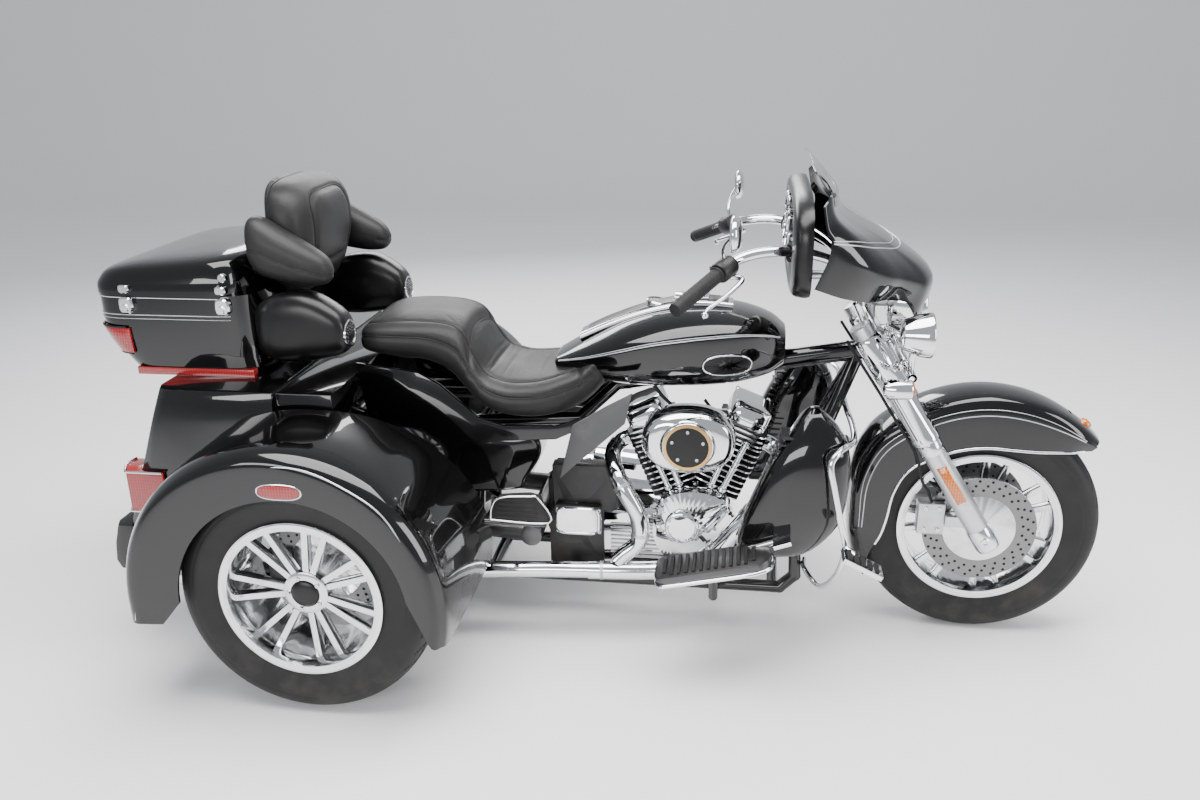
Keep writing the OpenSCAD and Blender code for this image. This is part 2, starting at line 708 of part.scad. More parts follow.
// The fender's section at one station: outer points from the inner edge over the crown to the lip
function fender_station(u) =
    let (
        inner_y = mix(cover_y + 8, trunk_half_w + seat_gap, min(1, u * 2.4)),
        a = mix(-12, 180, min(1, u / 0.82)),
        drop = u > 0.82 ? (u - 0.82) / 0.18 * 62 : 0,
        lip_a = mix(8, 180, min(1, u / 0.82)),
        lip_r = rear_z - 38,
        swell = u > 0.82 ? (u - 0.82) / 0.18 * 52 : 0
    )
    [for (row = [[inner_y, 1.0], [mix(inner_y, fender_y, 0.3), 1.0], [mix(inner_y, fender_y, 0.6), 1.0],
        [fender_y - 46, 0.99], [fender_y - 16, 0.965], [fender_y, 0.92]])
        [fender_x + fender_r * row[1] * cos(a), row[0], rear_z + fender_r * row[1] * sin(a) - drop],
        let (m = 0.4, cr = fender_r * 0.92)
        [mix(fender_x + cr * cos(a), rear_x + lip_r * cos(lip_a) - swell, m), fender_y,
            mix(rear_z + cr * sin(a), rear_z + lip_r * sin(lip_a), m) - drop],
        [rear_x + lip_r * cos(lip_a) - swell, fender_y - 4, rear_z + lip_r * sin(lip_a) - drop]
    ];
// The same station moved inwards by the wall, towards the tyre's middle line
function fender_inside(u) =
    let (s = fender_station(u), core = [rear_x, rear_tyre_y, rear_z])
    [for (i = [0:len(s) - 1]) let (
        p = s[i],
        radial = unit([core.x - p.x, 0, core.z - p.z]),
        dir = i < 4 ? radial : i == 4 ? unit(radial + [0, -1, 0]) * 1.3 : [0, -1, 0]
    ) p + fender_wall * dir];

module rear_fender() {
    steps = 22;
    color(black) sheet(
        [for (i = [0:steps]) fender_station(i / steps)],
        [for (i = [0:steps]) fender_inside(i / steps)]
    );
}
module rear_fender_left() rear_fender();
module rear_fender_right() mirror([0, 1, 0]) rear_fender();

plate_spacing = 146;
plate_hole_d = 7;
plate_z = 290;

module rear_bumper() {
    w = trunk_half_w - 6;
    z0 = 247;
    color(black) difference() {
        loft([for (r = [[z0, 26], [z0 + 24, 14], [322, 20], [376, 36]]) at_z(r[0], [
            [tail_x + r[1] + 60, -w], [tail_x + r[1] + 60, w], [tail_x + r[1] + 14, w],
            [tail_x + r[1], w - 30], [tail_x + r[1], -w + 30], [tail_x + r[1] + 14, -w]
        ])]);
        // Holes for a blank number plate's two bolts
        for (s = [-1, 1]) rod([tail_x - 1, s * plate_spacing / 2, plate_z], [tail_x + 44, s * plate_spacing / 2, plate_z], plate_hole_d);
    }
    arm_z = trunk_floor_z - trunk_wall - frame_d / 2 - seat_gap;
    color(black) both_sides() rod([tail_x + 74, rail_y, arm_z], [rear_x - 380 - seat_gap, rail_y, arm_z], 24);
}

module tail_lamps() {
    low = 430;
    high = 542;
    x = rear_face_x(low);
    w = trunk_half_w;
    out = 8;
    color(red) both_sides() difference() {
        translate([0, 0, low]) linear_extrude(high - low) polygon([
            [x - out, w - 84], [x - out, w - 34], [x + 16, w + out], [x + 120, w + out],
            [x + 120, w - 12], [x + 60, w - 84]
        ]);
        trunk_shell(-seat_gap, 400, trunk_top_z);
    }
}

// ---------- top box ----------

// The box's plan at height z, moved inwards by t; its front wall is a deck that carries the backrest
function box_plan(z, t, front_t = 0) =
    let (
        k = z < 917 ? pow(max(0, (917 - z) / 140), 1.5) : 0,
        back = tail_x + 4 + 78 * k + t,
        front = box_front_x - t - front_t,
        w = box_half_w - 12 * k - t
    )
    oval((front + back) / 2, 0, (front - back) / 2, w, 7, 36);
// The lid's plan, drawn in by i over its crown
function lid_plan(i, t) =
    let (back = tail_x + i * 1.2 + t, front = lid_front_x - i * 0.6 - t)
    oval((front + back) / 2, 0, (front - back) / 2, box_half_w + 4 - i * 0.9 - t, 6.5, 36);
// Height of the lid's top, which falls to the rear
function lid_top(x, h) = h * (0.62 + 0.38 * (x - tail_x) / (box_front_x - tail_x));
function lid_ring(i, h, t) = [for (p = lid_plan(i, t)) [p.x, p.y, box_seam_z + seat_gap + lid_top(p.x, h)]];

// The box's outside as a plain solid, grown by g
module box_solid(g) {
    loft([for (z = [box_floor_z - 25 - g, 800, 828, 850, 870, 896, 917, box_seam_z]) at_z(z, box_plan(z, -g))]);
}

module top_box() {
    zs = [box_floor_z - 25, box_floor_z - 18, 850, 917, box_seam_z];
    inner = [box_seam_z, 917, 850, box_floor_z];
    color(black) loft(concat(
        [for (z = zs) at_z(z, box_plan(z, z == zs[0] ? 10 : 0))],
        [for (z = inner) at_z(z, box_plan(z, box_wall, box_front_x - lid_front_x))]
    ));
    color(black) box([box_front_x - 356, 43 - box_half_w, box_floor_z - 2],
        [box_front_x - 66, box_half_w - 43, box_floor_z + floor_pad]);
    // The rack that carries the box over the trunk
    color(black) both_sides() box([tail_x + 230, 110, trunk_top_z + seat_gap], [box_front_x - 60, 160, box_floor_z - 26 + seat_gap]);
}

module box_lid() {
    roof = [[120, 102], [60, 96], [22, 80], [4, 42], [0, 16], [0, 0]];
    crown = [[0, 0], [0, 18], [4, 48], [22, 86], [60, 102], [120, 108]];
    color(black) loft(concat(
        [for (r = roof) lid_ring(r[0], r[1], box_wall)],
        [for (r = crown) lid_ring(r[0], r[1], 0)]
    ));
}

module box_lamps() {
    low = 828;
    high = 896;
    out = 7;
    color(red) both_sides() {
        // The corner lamps wrap round the box's back corners
        intersection() {
            box([tail_x - 20, box_half_w - 96, low], [tail_x + 112, box_half_w + 30, high]);
            difference() {
                box_solid(out);
                box_solid(seat_gap);
            }
        }
        // The light bar under the box's side
        difference() {
            box([tail_x + 110, box_half_w - 30, trunk_top_z + seat_gap], [box_front_x - 20, box_half_w - 7, box_floor_z - 12]);
            box_solid(seat_gap);
        }
    }
}

module speaker_pods() {
    x = rear_x;
    color(black) both_sides() difference() {
        loft([for (r = [[-214, 888, 24, 60], [-176, 890, 44, 84], [-120, 896, 52, 92],
            [-60, 898, 54, 88], [-2, 888, 50, 66], [26, 882, 40, 44], [34, 880, 20, 20]])
            at_x(x + r[0], oval(244, r[1], r[2], r[3], 3, 24))]);
        box_solid(seat_gap);
    }
}

// ---------- front of the chassis ----------

module leg_shields() {
    // Each row is height, rear x ahead of the crank, front x ahead of the crank, inner y and outer y
    rows = [
        [300, 150, 196, 236, 252], [330, 120, 300, 228, 296], [420, 130, 372, 226, 330],
        [520, 166, 392, 222, 336], [600, 200, 392, 208, 330], [660, 240, 372, 210, 312],
        [705, 270, 330, 220, 280], [722, 290, 312, 236, 256]
    ];
    color(black) both_sides() loft([for (r = rows)
        at_z(r[0], oval(crank_x + (r[1] + r[2]) / 2, (r[3] + r[4]) / 2, (r[2] - r[1]) / 2, (r[4] - r[3]) / 2, 2.8, 24))]);
}

module engine_guard() {
    bar = 16;
    x = crank_x;
    half = smooth([
        [x + 395.5, 0, 655], [x + 395.5, 70, 655], [x + 400, 200, 655], [x + 392, 300, 654],
        [x + 356, 360, 650], [x + 336, 380, 622], [x + 348, 384, 560], [x + 366, 384, 480],
        [x + 384, 376, 400], [x + 372, 330, 300], [x + 340, 250, 220], [x + 306.9, 150, 214],
        [x + 306.9, 96, 214]
    ], 2);
    rings = [for (i = [0:len(half) - 1]) round_ring(half[i], tangent(half, i), [1, 0, 0], bar / 2, 10)];
    color(chrome) loft(rings);
    color(chrome) loft([for (r = rings) mirror_y(r)]);
    // A small foot rest on each side of the bar
    color(silver) both_sides() {
        rod([x + 382, 378, 404], [x + 412, 406, 390], 18);
        translate([x + 421, 420, 384]) rotate([0, 26, 0]) cube([104, 62, 16], center = true);
    }
}

module rider_footboards() {
    x0 = crank_x - 80;
    x1 = crank_x + 206;
    tilt = 12.7;
    color(black) both_sides() translate([x0, 0, 284]) rotate([0, -tilt, 0])
        translate([0, 300, 0]) linear_extrude(26) hull() {
            translate([30, 34]) circle(30, $fn = 32);
            translate([30, 96]) circle(30, $fn = 32);
            translate([256, 44]) circle(38, $fn = 32);
            translate([256, 88]) circle(38, $fn = 32);
        }
    color(black) both_sides() bars([[crank_x + 60, rail_y + frame_d / 2 + 3 * seat_gap, rail_z],
        [crank_x + 60, 215, rail_z + 18], [crank_x + 60, 330, 322]], 24);
}

module air_deflectors() {
    thick = 8;
    outline = [[-354, 212], [-313, 252], [-178, 376], [-160, 459], [-230, 420], [-316, 366]];
    color([0.16, 0.165, 0.17]) both_sides() plate([for (p = outline) [crank_x + p.x, crank_z + p.y]],
        cover_y + cover_thick / 2 + seat_gap + thick / 2, thick);
}

// Folded up against the side, its sole facing outwards
module pillion_board(s) {
    outline = [[0, 0], [162, 0], [134, 70], [108, 76], [30, 68], [6, 40]];
    color(black) plate([for (p = outline) [board_x + p.x, board_z + p.y]],
        s * (board_y + board_thick / 2 + seat_gap), board_thick);
}
module pillion_board_right() pillion_board(-1);
module pillion_board_left() pillion_board(1);

// ---------- steering ----------

leg_top_s = 680;
leg_y = fork_spread / 2;
clamp_thick = 20;
lamp_x = front_x - 214;
lamp_z = 935;
lamp_r = 96;
lamp_back = 70;

module fork() {
    up = [-sin(head_rake), 0, cos(head_rake)];
    top = head_point(neck_high_z + 8);
    mast = top + 18 * up;
    color(silver) both_sides() {
        rod(leg_point(-34, leg_y), leg_point(leg_top_s, leg_y), slider_d);
        // The lug that carries a calliper
        box([front_x - 98 + seat_gap, 78, front_z + 20], [front_x - 30, 108, front_z + 50]);
    }
    color(chrome) disc(front_x, 0, front_z, front_axle_d, fork_spread);
    color(silver) {
        rod(head_point(neck_low_z - 40), head_point(neck_high_z + 40), stem_d);
        for (z = [neck_low_z - 28, neck_high_z + 8])
            translate(head_point(z)) rotate([0, -head_rake, 0]) translate([-34, -leg_y - 10, 0])
                cube([62, 2 * leg_y + 20, clamp_thick]);
        // The mast that carries the headlamp and the dash
        rod(mast, [mast.x, 0, 1012], 24);
        rod([mast.x, 0, lamp_z], [lamp_x - lamp_back - seat_gap, 0, lamp_z], 30);
        rod([mast.x, 0, 1000], [front_x - 500 + seat_gap, 0, 1000], 24);
    }
}

function arch_point(r, a) = [front_x + r * cos(a), front_z + r * sin(a)];

module front_fender() {
    side = leg_y - slider_d / 2 - seat_gap;
    // Each row is the angle round the axle, the half width, how far the sides reach down and
    // the height over the tyre
    rows = [
        [208, 68, 20, 28], [198, 78, 44, 28], [186, side, 84, 28], [172, side, 104, 34],
        [156, side, 118, 56], [140, side, 128, 72], [124, side, 136, 68], [108, side, 140, 66],
        [92, side, 142, 66], [76, side, 138, 66], [62, 83, 118, 66], [50, 76, 78, 66], [42, 58, 34, 66]
    ];
    function line(k, t) = let (a = k[0], w = k[1], v = w - t, d = k[2], r = front_z + k[3])
        [for (q = [[-v, -d], [-v, -d * 0.5], [-w * 0.94, -22 - t], [-w * 0.7, -6 - t], [0, -t],
            [w * 0.7, -6 - t], [w * 0.94, -22 - t], [v, -d * 0.5], [v, -d]])
            let (p = arch_point(r + q.y, a)) [p.x, sign(q.x) * min(abs(q.x), v), p.y]];
    color(black) sheet([for (k = smooth(rows, 2)) line(k, 0)], [for (k = smooth(rows, 2)) line(k, skin)]);
}

// Each row is the side position, then x ahead of the front axle and height of the lower edge,
// the bulge and the upper edge
fairing_rows = [
    [0, -200, 906, -181, 1020, -436, 1230], [0.18, -206, 908, -186, 1020, -438, 1231],
    [0.36, -226, 924, -208, 1024, -442, 1234], [0.46, -256, 968, -234, 1030, -446, 1237],
    [0.6, -310, 986, -276, 1044, -452, 1242], [0.75, -356, 992, -318, 1058, -458, 1248],
    [0.9, -424, 1012, -378, 1080, -464, 1250], [1, -490, 1040, -462, 1110, -480, 1232]
];
function fairing_line(r, t) = let (
    y = r[0] * fairing_half_w,
    lo = [front_x + r[1], r[2]],
    mid = [front_x + r[3], r[4]],
    hi = [front_x + r[5], r[6]],
    neck = hi + [mix(30, 10, abs(r[0])), -52],
    q = smooth([lo, mid, mix(mid, neck, 0.5) + [8, 8], neck, hi], 3),
    pts = t == 0 ? q : beside(q, t)
) [for (p = pts) [p.x, y, p.y]];
fairing_half = smooth(fairing_rows, 2);
fairing_all = concat(
    [for (i = [len(fairing_half) - 1:-1:1]) let (r = fairing_half[i]) [-r[0], r[1], r[2], r[3], r[4], r[5], r[6]]],
    fairing_half
);

module fairing() {
    color(black) difference() {
        sheet([for (r = fairing_all) fairing_line(r, 0)], [for (r = fairing_all) fairing_line(r, skin)]);
        rod([lamp_x - 90, 0, lamp_z], [lamp_x + 90, 0, lamp_z], 2 * (lamp_r + seat_gap));
    }
}

module fairing_inner() {
    // The dash inside the fairing: a thick bowl between the two wing tips
    rows = [for (r = fairing_all) if (abs(r[0]) <= 0.97) r];
    function back_line(r) = [for (p = fairing_line(r, 0)) let (k = abs(r[0]))
        [min(p.x - 40, front_x - 545 + 20 * k), p.y * 0.985, mix(p.z, 1110, 0.05)]];
    function front_line(r) = [for (p = fairing_line(r, 0))
        [min(p.x - 16, front_x - 500), p.y * 0.985, mix(p.z, 1110, 0.05)]];
    color([0.05, 0.05, 0.055]) difference() {
        sheet([for (r = rows) front_line(r)], [for (r = rows) back_line(r)]);
        // Holes for the handlebar
        both_sides() rod([front_x - 400, 118, 1049], [front_x - 640, 266, 1125], bar_d + 24);
    }
}

module windshield() {
    glass = 4;
    rows = [for (r = fairing_all) if (abs(r[0]) <= 0.76) r];
    function line(r, t) = let (k = abs(r[0]) / 0.76, m = 1 - 0.35 * k * k)
        [for (p = [[-0.2, 1.5], [-24 * m, 40 * m], [-62 * m, 76 * m]])
            [front_x + r[5] + p.x - 0.87 * t, r[0] * fairing_half_w, r[6] + p.y - 0.5 * t]];
    color(clear) sheet([for (r = rows) line(r, 0)], [for (r = rows) line(r, glass)]);
}

module handlebar() {
    up = [-sin(head_rake), 0, cos(head_rake)];
    foot = head_point(neck_high_z + 8) + (clamp_thick + seat_gap) * up + [0, 54, 0];
    cross_bar = foot + 66 * up;
    half = smooth([
        cross_bar, [front_x - 372, 84, 990], [front_x - 440, 140, 1066], [front_x - 560, 214, 1104],
        [front_x - 682, 264, 1088], [front_x - 803, 431, 1015]
    ], 4);
    color(chrome) {
        both_sides() {
            tube(half, bar_d, [1, 0, 0]);
            rod(foot, foot + 84 * up, 36);
        }
        rod([cross_bar.x, -54, cross_bar.z], [cross_bar.x, 54, cross_bar.z], bar_d);
    }
    color(rubber) both_sides() rod([front_x - 716, 311, 1068], [front_x - 808, 438, 1012], grip_d);
    color(black) both_sides() rod([front_x - 684, 267, 1087], [front_x - 714, 308, 1069], 52);
}

module mirrors() {
    x = front_x - 684;
    stalk = [[x - 20.3, 294.7, 1103.1], [x - 23, 305, 1124], [x - 16, 340, 1148], [x - 6, 372, 1164], [x + 4, 384, 1176]];
    color(chrome) both_sides() {
        tube(smooth(stalk, 3), 9, [0, 1, 0], 8);
        loft([for (k = [[-6, 0.7], [0, 1], [10, 0.96], [20, 0.6]])
            at_x(x + k[0], oval(384, 1178, 62 * k[1], 40 * k[1], 2.4, 20))]);
    }
}

module headlamp() {
    color(chrome) translate([lamp_x, 0, lamp_z]) rotate([0, 90, 0]) rotate_extrude($fn = 64) polygon([
        [0, -lamp_back], [lamp_r - 26, 4 - lamp_back], [lamp_r - 4, -20], [lamp_r, 10],
        [lamp_r - 6, 20], [lamp_r - 12, 16], [60, 26], [0, 32]
    ]);
}

module front_lamps() {
    x = front_x - 240;
    z = 800;
    // The way from the lamp bar back to a fork leg
    back = [-cos(fork_angle), 0, -sin(fork_angle)];
    reach = ([front_x, 0, front_z] - [x, 0, z]) * back - slider_d / 2 - seat_gap;
    color(chrome) {
        rod([x, -236, z], [x, 236, z], 22);
        both_sides() {
            rod([x, leg_y, z], [x, leg_y, z] + reach * back, 20);
            translate([x + 6, 200, 900]) rotate([0, 90, 0]) cylinder(h = 84, d1 = 70, d2 = 112, center = true);
            rod([x, 190, z], [x + 4, 196, 862], 18);
            translate([x - 36, 250, 776]) rotate([0, 90, 0]) cylinder(h = 68, d = 50, center = true);
            rod([x, 232, z], [x - 20, 246, 780], 16);
        }
    }
}

module front_brakes() {
    slot = front_disc_w + 10;
    color(silver) both_sides() difference() {
        box([front_x - 168, 50, front_z - 10], [front_x - 98, 94, front_z + 80]);
        disc(front_x, front_disc_y, front_z, front_disc_d + 10, slot);
    }
}

module brake_hoses() {
    path = [
        [-134, 84, front_z + 82], [-148, 92, front_z + 116], [-168, 102, 470], [-192, 106, 550],
        [-250, 108, 640], [-298, 106, 716], [-348, 100, 790], [-388, 94, 850]
    ];
    color(black) both_sides() tube(smooth([for (p = path) [front_x + p.x, p.y, p.z]], 3), 8, [0, 1, 0], 8);
}

// ---------- drawing ----------

frame();
rear_axle();
engine_cases();
cylinders();
air_cleaner();
primary_cover();
transmission();
exhaust();
fuel_tank();
tank_console();
seat();
backrest();
side_covers();
trunk_body();
rear_fender_right();
rear_fender_left();
rear_bumper();
tail_lamps();
top_box();
box_lamps();
speaker_pods();
leg_shields();
engine_guard();
rider_footboards();
air_deflectors();
fork();
front_fender();
fairing();
fairing_inner();
windshield();
handlebar();
mirrors();
headlamp();
front_lamps();
front_brakes();
brake_hoses();
front_tyre();
front_rim();
rear_tyre_right();
rear_rim_right();
rear_tyre_left();
rear_rim_left();
box_lid();
trunk_door();
pillion_board_right();
pillion_board_left();
fuel_door();
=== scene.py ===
# %% [markdown]
# # Motorized trike
# A touring motorcycle front end on a two-wheel rear axle. The CAD model fixes where everything
# is. This notebook gives it its looks: finer skins over the painted bodywork, real tread,
# upholstery that has been puffed up, and a shader for every finish. Numbers are millimetres
# in the model's own frame, with +X forwards, +Y to the rider's left and +Z up.

# %% The frame and its tools
import math

import bmesh
import bpy
from mathutils import Matrix, Vector


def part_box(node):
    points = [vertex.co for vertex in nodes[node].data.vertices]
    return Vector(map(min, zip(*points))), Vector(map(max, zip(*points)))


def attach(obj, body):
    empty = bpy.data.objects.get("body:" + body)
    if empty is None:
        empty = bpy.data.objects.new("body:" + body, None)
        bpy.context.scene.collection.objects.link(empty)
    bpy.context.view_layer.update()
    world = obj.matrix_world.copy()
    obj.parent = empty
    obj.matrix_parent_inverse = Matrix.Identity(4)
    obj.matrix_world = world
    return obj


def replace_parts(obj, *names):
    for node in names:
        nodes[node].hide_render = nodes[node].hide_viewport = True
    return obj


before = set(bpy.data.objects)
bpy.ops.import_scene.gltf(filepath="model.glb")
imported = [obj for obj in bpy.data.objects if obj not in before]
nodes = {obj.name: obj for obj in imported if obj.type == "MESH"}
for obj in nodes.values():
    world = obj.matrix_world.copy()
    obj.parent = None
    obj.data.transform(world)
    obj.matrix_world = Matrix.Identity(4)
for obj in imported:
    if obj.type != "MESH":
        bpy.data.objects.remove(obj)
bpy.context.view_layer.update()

# %% [markdown]
# ## Reference points
# Every part of the look hangs on a few places: the axles, the crankshaft and the tail. They
# come from the boxes of the CAD nodes, so the look follows the model.

# %% Reference points
def middle_of(name):
    low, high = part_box(name)
    return 500 * (low + high)


front_axle = middle_of("front_tyre")
rear_axle = middle_of("rear_tyre_right")
FX, FZ = front_axle.x, front_axle.z
RX, RZ, RY = rear_axle.x, rear_axle.z, -rear_axle.y
CX, CZ = RX + 922, 274.0
TAIL = 1000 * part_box("top_box")[0].x - 4
FENDER_Y = 1000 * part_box("rear_fender_left")[1].y
print("front axle", round(FX, 1), "rear axle", round(RX, 1), "tail", round(TAIL, 1))

# %% [markdown]
# ## Lists of points
# A styled surface is a stack of outlines. These helpers make the outlines: a smooth curve
# through a few points, a squared-off oval, and rings that stand on a path.

# %% Curves and outlines
def mix(a, b, t):
    return a + (b - a) * t


def power(value, e):
    return math.copysign(abs(value) ** e, value)


def smooth(points, k):
    """A smooth curve through rows of numbers, with k steps between two rows."""
    made = []
    last = len(points) - 1
    for i in range(last):
        a = points[max(i - 1, 0)]
        b = points[i]
        c = points[i + 1]
        d = points[min(i + 2, last)]
        for j in range(k):
            t = j / k
            made.append([
                0.5 * (2 * q + (r - p) * t + (2 * p - 5 * q + 4 * r - s) * t * t
                       + (3 * q - p - 3 * r + s) * t ** 3)
                for p, q, r, s in zip(a, b, c, d)
            ])
    made.append(list(points[last]))
    return made


def oval(x, y, rx, ry, e=4.0, n=48):
    turns = [2 * math.pi * i / n for i in range(n)]
    return [(x + rx * power(math.cos(a), 2 / e), y + ry * power(math.sin(a), 2 / e)) for a in turns]


def at_x(x, points):
    return [(x, p[0], p[1]) for p in points]


def at_y(y, points):
    return [(p[0], y, p[1]) for p in points]


def at_z(z, points):
    return [(p[0], p[1], z) for p in points]


def beside(p, t):
    """A line of points in a plane, moved sideways by t."""
    made = []
    for i, here in enumerate(p):
        ahead = Vector(p[min(i + 1, len(p) - 1)])
        d = (ahead - Vector(p[max(i - 1, 0)])).normalized()
        made.append((here[0] - t * d.y, here[1] + t * d.x))
    return made


# %% [markdown]
# ## A workbench for meshes
# `Part` collects lofts, sheets, tubes and turned pieces, and turns them into one object that
# rides on a body of the model. Edges sharper than the given angle stay crisp, and a bevel
# rounds them as a press or a mould would.

# %% The mesh workbench
class Part:
    def __init__(self):
        self.points = []
        self.faces = []

    def add(self, points, faces):
        base = len(self.points)
        self.points += [Vector(p) for p in points]
        self.faces += [[base + i for i in f] for f in faces]
        return self

    def loft(self, rings, closed=True, caps=True):
        n = len(rings[0])
        faces = []
        for k in range(len(rings) - 1):
            for i in range(n if closed else n - 1):
                a = k * n + i
                b = k * n + (i + 1) % n
                faces.append([a, b, b + n, a + n])
        points = [p for ring in rings for p in ring]
        if caps:
            for ring, first, turn in ((rings[0], 0, True), (rings[-1], len(points) - n, False)):
                centre = sum((Vector(p) for p in ring), Vector()) / n
                points.append(centre)
                c = len(points) - 1
                for i in range(n):
                    a = first + i
                    b = first + (i + 1) % n
                    faces.append([a, c, b] if turn else [a, b, c])
        return self.add(points, faces)

    def sheet(self, outer, inner):
        rings = [list(o) + list(reversed(i)) for o, i in zip(outer, inner)]
        n = len(rings[0])
        self.loft(rings, caps=False)
        base = len(self.points) - n * len(rings)
        for first in (base, base + n * (len(rings) - 1)):
            for i in range(n // 2 - 1):
                self.faces.append([first + i, first + i + 1, first + n - 2 - i, first + n - 1 - i])
        return self

    def turned(self, profile, at, axis, n=64, caps=False):
        """A profile of (radius, distance along the axis) turned about an axis."""
        axis = Vector(axis).normalized()
        side = axis.orthogonal().normalized()
        other = axis.cross(side)
        rings = []
        for r, d in profile:
            centre = Vector(at) + d * axis
            rings.append([
                centre + r * math.cos(2 * math.pi * i / n) * side
                + r * math.sin(2 * math.pi * i / n) * other
                for i in range(n)
            ])
        return self.loft(rings, caps=caps)

    def tube(self, path, radius, n=16):
        """A round bar along a path; radius is one number or one for each point."""
        path = [Vector(p) for p in path]
        radii = radius if isinstance(radius, list) else [radius] * len(path)
        ahead = (path[1] - path[0]).normalized()
        side = ahead.orthogonal().normalized()
        rings = []
        for i, p in enumerate(path):
            ahead = (path[min(i + 1, len(path) - 1)] - path[max(i - 1, 0)]).normalized()
            side = (side - side.dot(ahead) * ahead).normalized()
            other = ahead.cross(side)
            rings.append([
                p + radii[i] * (math.cos(2 * math.pi * k / n) * side
                                + math.sin(2 * math.pi * k / n) * other)
                for k in range(n)
            ])
        return self.loft(rings)

    def block(self, centre, size, turn=None):
        x, y, z = (s / 2 for s in size)
        corners = [(-x, -y), (x, -y), (x, y), (-x, y)]
        rings = [[Vector((a, b, h)) for a, b in corners] for h in (-z, z)]
        turn = turn or Matrix.Identity(3)
        return self.loft([[Vector(centre) + turn @ p for p in ring] for ring in rings])

    def bolt(self, at, axis, radius=5.0, high=4.0):
        axis = Vector(axis).normalized()
        profile = [(radius, -high), (radius, high * 0.7), (radius * 0.86, high),
                   (radius * 0.5, high), (radius * 0.42, high * 0.2), (0.1, high * 0.2)]
        return self.turned(profile, at, axis, 12)

    def both_sides(self):
        count = len(self.points)
        self.points += [Vector((p.x, -p.y, p.z)) for p in self.points]
        self.faces += [[count + i for i in reversed(f)] for f in self.faces]
        return self

    def done(self, name, body, finish, angle=35, bevel=0.0):
        mesh = bpy.data.meshes.new(name)
        mesh.from_pydata([p / 1000 for p in self.points], [], self.faces)
        mesh.validate()
        made = bpy.data.objects.new(name, mesh)
        bpy.context.scene.collection.objects.link(made)
        tidy_normals(made)
        made.data.materials.append(finish[0])
        shade(made, angle)
        round_edges(made, bevel)
        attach(made, body)
        return made


def tidy_normals(item):
    work = bmesh.new()
    work.from_mesh(item.data)
    bmesh.ops.recalc_face_normals(work, faces=work.faces)
    work.to_mesh(item.data)
    work.free()


def shade(item, angle):
    for face in item.data.polygons:
        face.use_smooth = True
    item.data.set_sharp_from_angle(angle=math.radians(angle))


def round_edges(item, bevel):
    if bevel:
        edge = item.modifiers.new("edges", "BEVEL")
        edge.width = bevel / 1000
        edge.segments = 2
        edge.limit_method = "ANGLE"
        edge.angle_limit = math.radians(32)
        edge.harden_normals = True


def show_cad(name, finish, bevel=1.0):
    """Shows a CAD node as it is, with its finish and small rounds on its edges."""
    item = nodes[name]
    item.data.materials.clear()
    item.data.materials.append(finish[0])
    for face in item.data.polygons:
        face.use_smooth = True
        face.material_index = 0
    weld = item.modifiers.new("weld", "WELD")
    weld.merge_threshold = 0.00001
    if bevel:
        round_edges(item, bevel)
    else:
        item.data.set_sharp_from_angle(angle=math.radians(32))


print("workbench ready")

# %% [markdown]
# ## Shaders in arithmetic
# A finish is easier to read as a formula than as a picture of boxes. `Wire` stands for one
# socket of a shader, and adding or multiplying wires places the nodes that do it.

# %% Shader wires
class Wire:
    def __init__(self, tree, socket):
        self.tree = tree
        self.socket = socket

    def node(self, kind, settings, inputs, output=0):
        made = self.tree.nodes.new("ShaderNode" + kind)
        for key, value in settings.items():
            setattr(made, key, value)
        for key, value in inputs.items():
            if isinstance(value, Wire):
                self.tree.links.new(value.socket, made.inputs[key])
            else:
                made.inputs[key].default_value = value
        return Wire(self.tree, made.outputs[output])

    def math(self, operation, *values):
        return self.node("Math", {"operation": operation}, dict(enumerate(values)))

    def __add__(self, other):
        return self.math("ADD", self, other)

    def __radd__(self, other):
        return self.math("ADD", other, self)

    def __sub__(self, other):
        return self.math("SUBTRACT", self, other)

    def __rsub__(self, other):
        return self.math("SUBTRACT", other, self)

    def __mul__(self, other):
        return self.math("MULTIPLY", self, other)

    def __rmul__(self, other):
        return self.math("MULTIPLY", other, self)

    def __truediv__(self, other):
        return self.math("DIVIDE", self, other)

    def __rtruediv__(self, other):
        return self.math("DIVIDE", other, self)

    def __pow__(self, other):
        return self.math("POWER", self, other)

    def step(self, low, high):
        """0 below low and 1 above high, with a soft slope between."""
        return self.node("MapRange", {"interpolation_type": "SMOOTHSTEP"},
                         {"Value": self, "From Min": low, "From Max": high})

    def colours(self, first, second):
        """first where the wire is 0 and second where it is 1."""
        return self.node("Mix", {"data_type": "RGBA"}, {0: self, 6: first, 7: second}, 2)

    def bump(self, strength, distance=0.001):
        return self.node("Bump", {}, {"Strength": strength, "Distance": distance, "Height": self})

    def noise(self, scale, detail=4.0, roughness=0.55):
        return self.node("TexNoise", {}, {
            "Vector": self, "Scale": scale, "Detail": detail, "Roughness": roughness})

    def cells(self, scale):
        return self.node("TexVoronoi", {"feature": "DISTANCE_TO_EDGE"},
                         {"Vector": self, "Scale": scale})

    def stretched(self, x, y, z):
        return self.node("Mapping", {}, {"Vector": self, "Scale": (x, y, z)})

    def axes(self):
        return [self.node("SeparateXYZ", {}, {"Vector": self}, i) for i in range(3)]


def finish(name, slot, recipe, **settings):
    """A material whose recipe maps the place on the object to the shader's varying inputs."""
    made = bpy.data.materials.new(name)
    made.use_nodes = True
    tree = made.node_tree
    shader = tree.nodes["Principled BSDF"]
    for key, value in settings.items():
        shader.inputs[key.replace("_", " ")].default_value = value
    place = Wire(tree, None).node("TexCoord", {}, {}, "Object")
    for key, wire in recipe(place).items():
        tree.links.new(wire.socket, shader.inputs[key])
    return made, slot


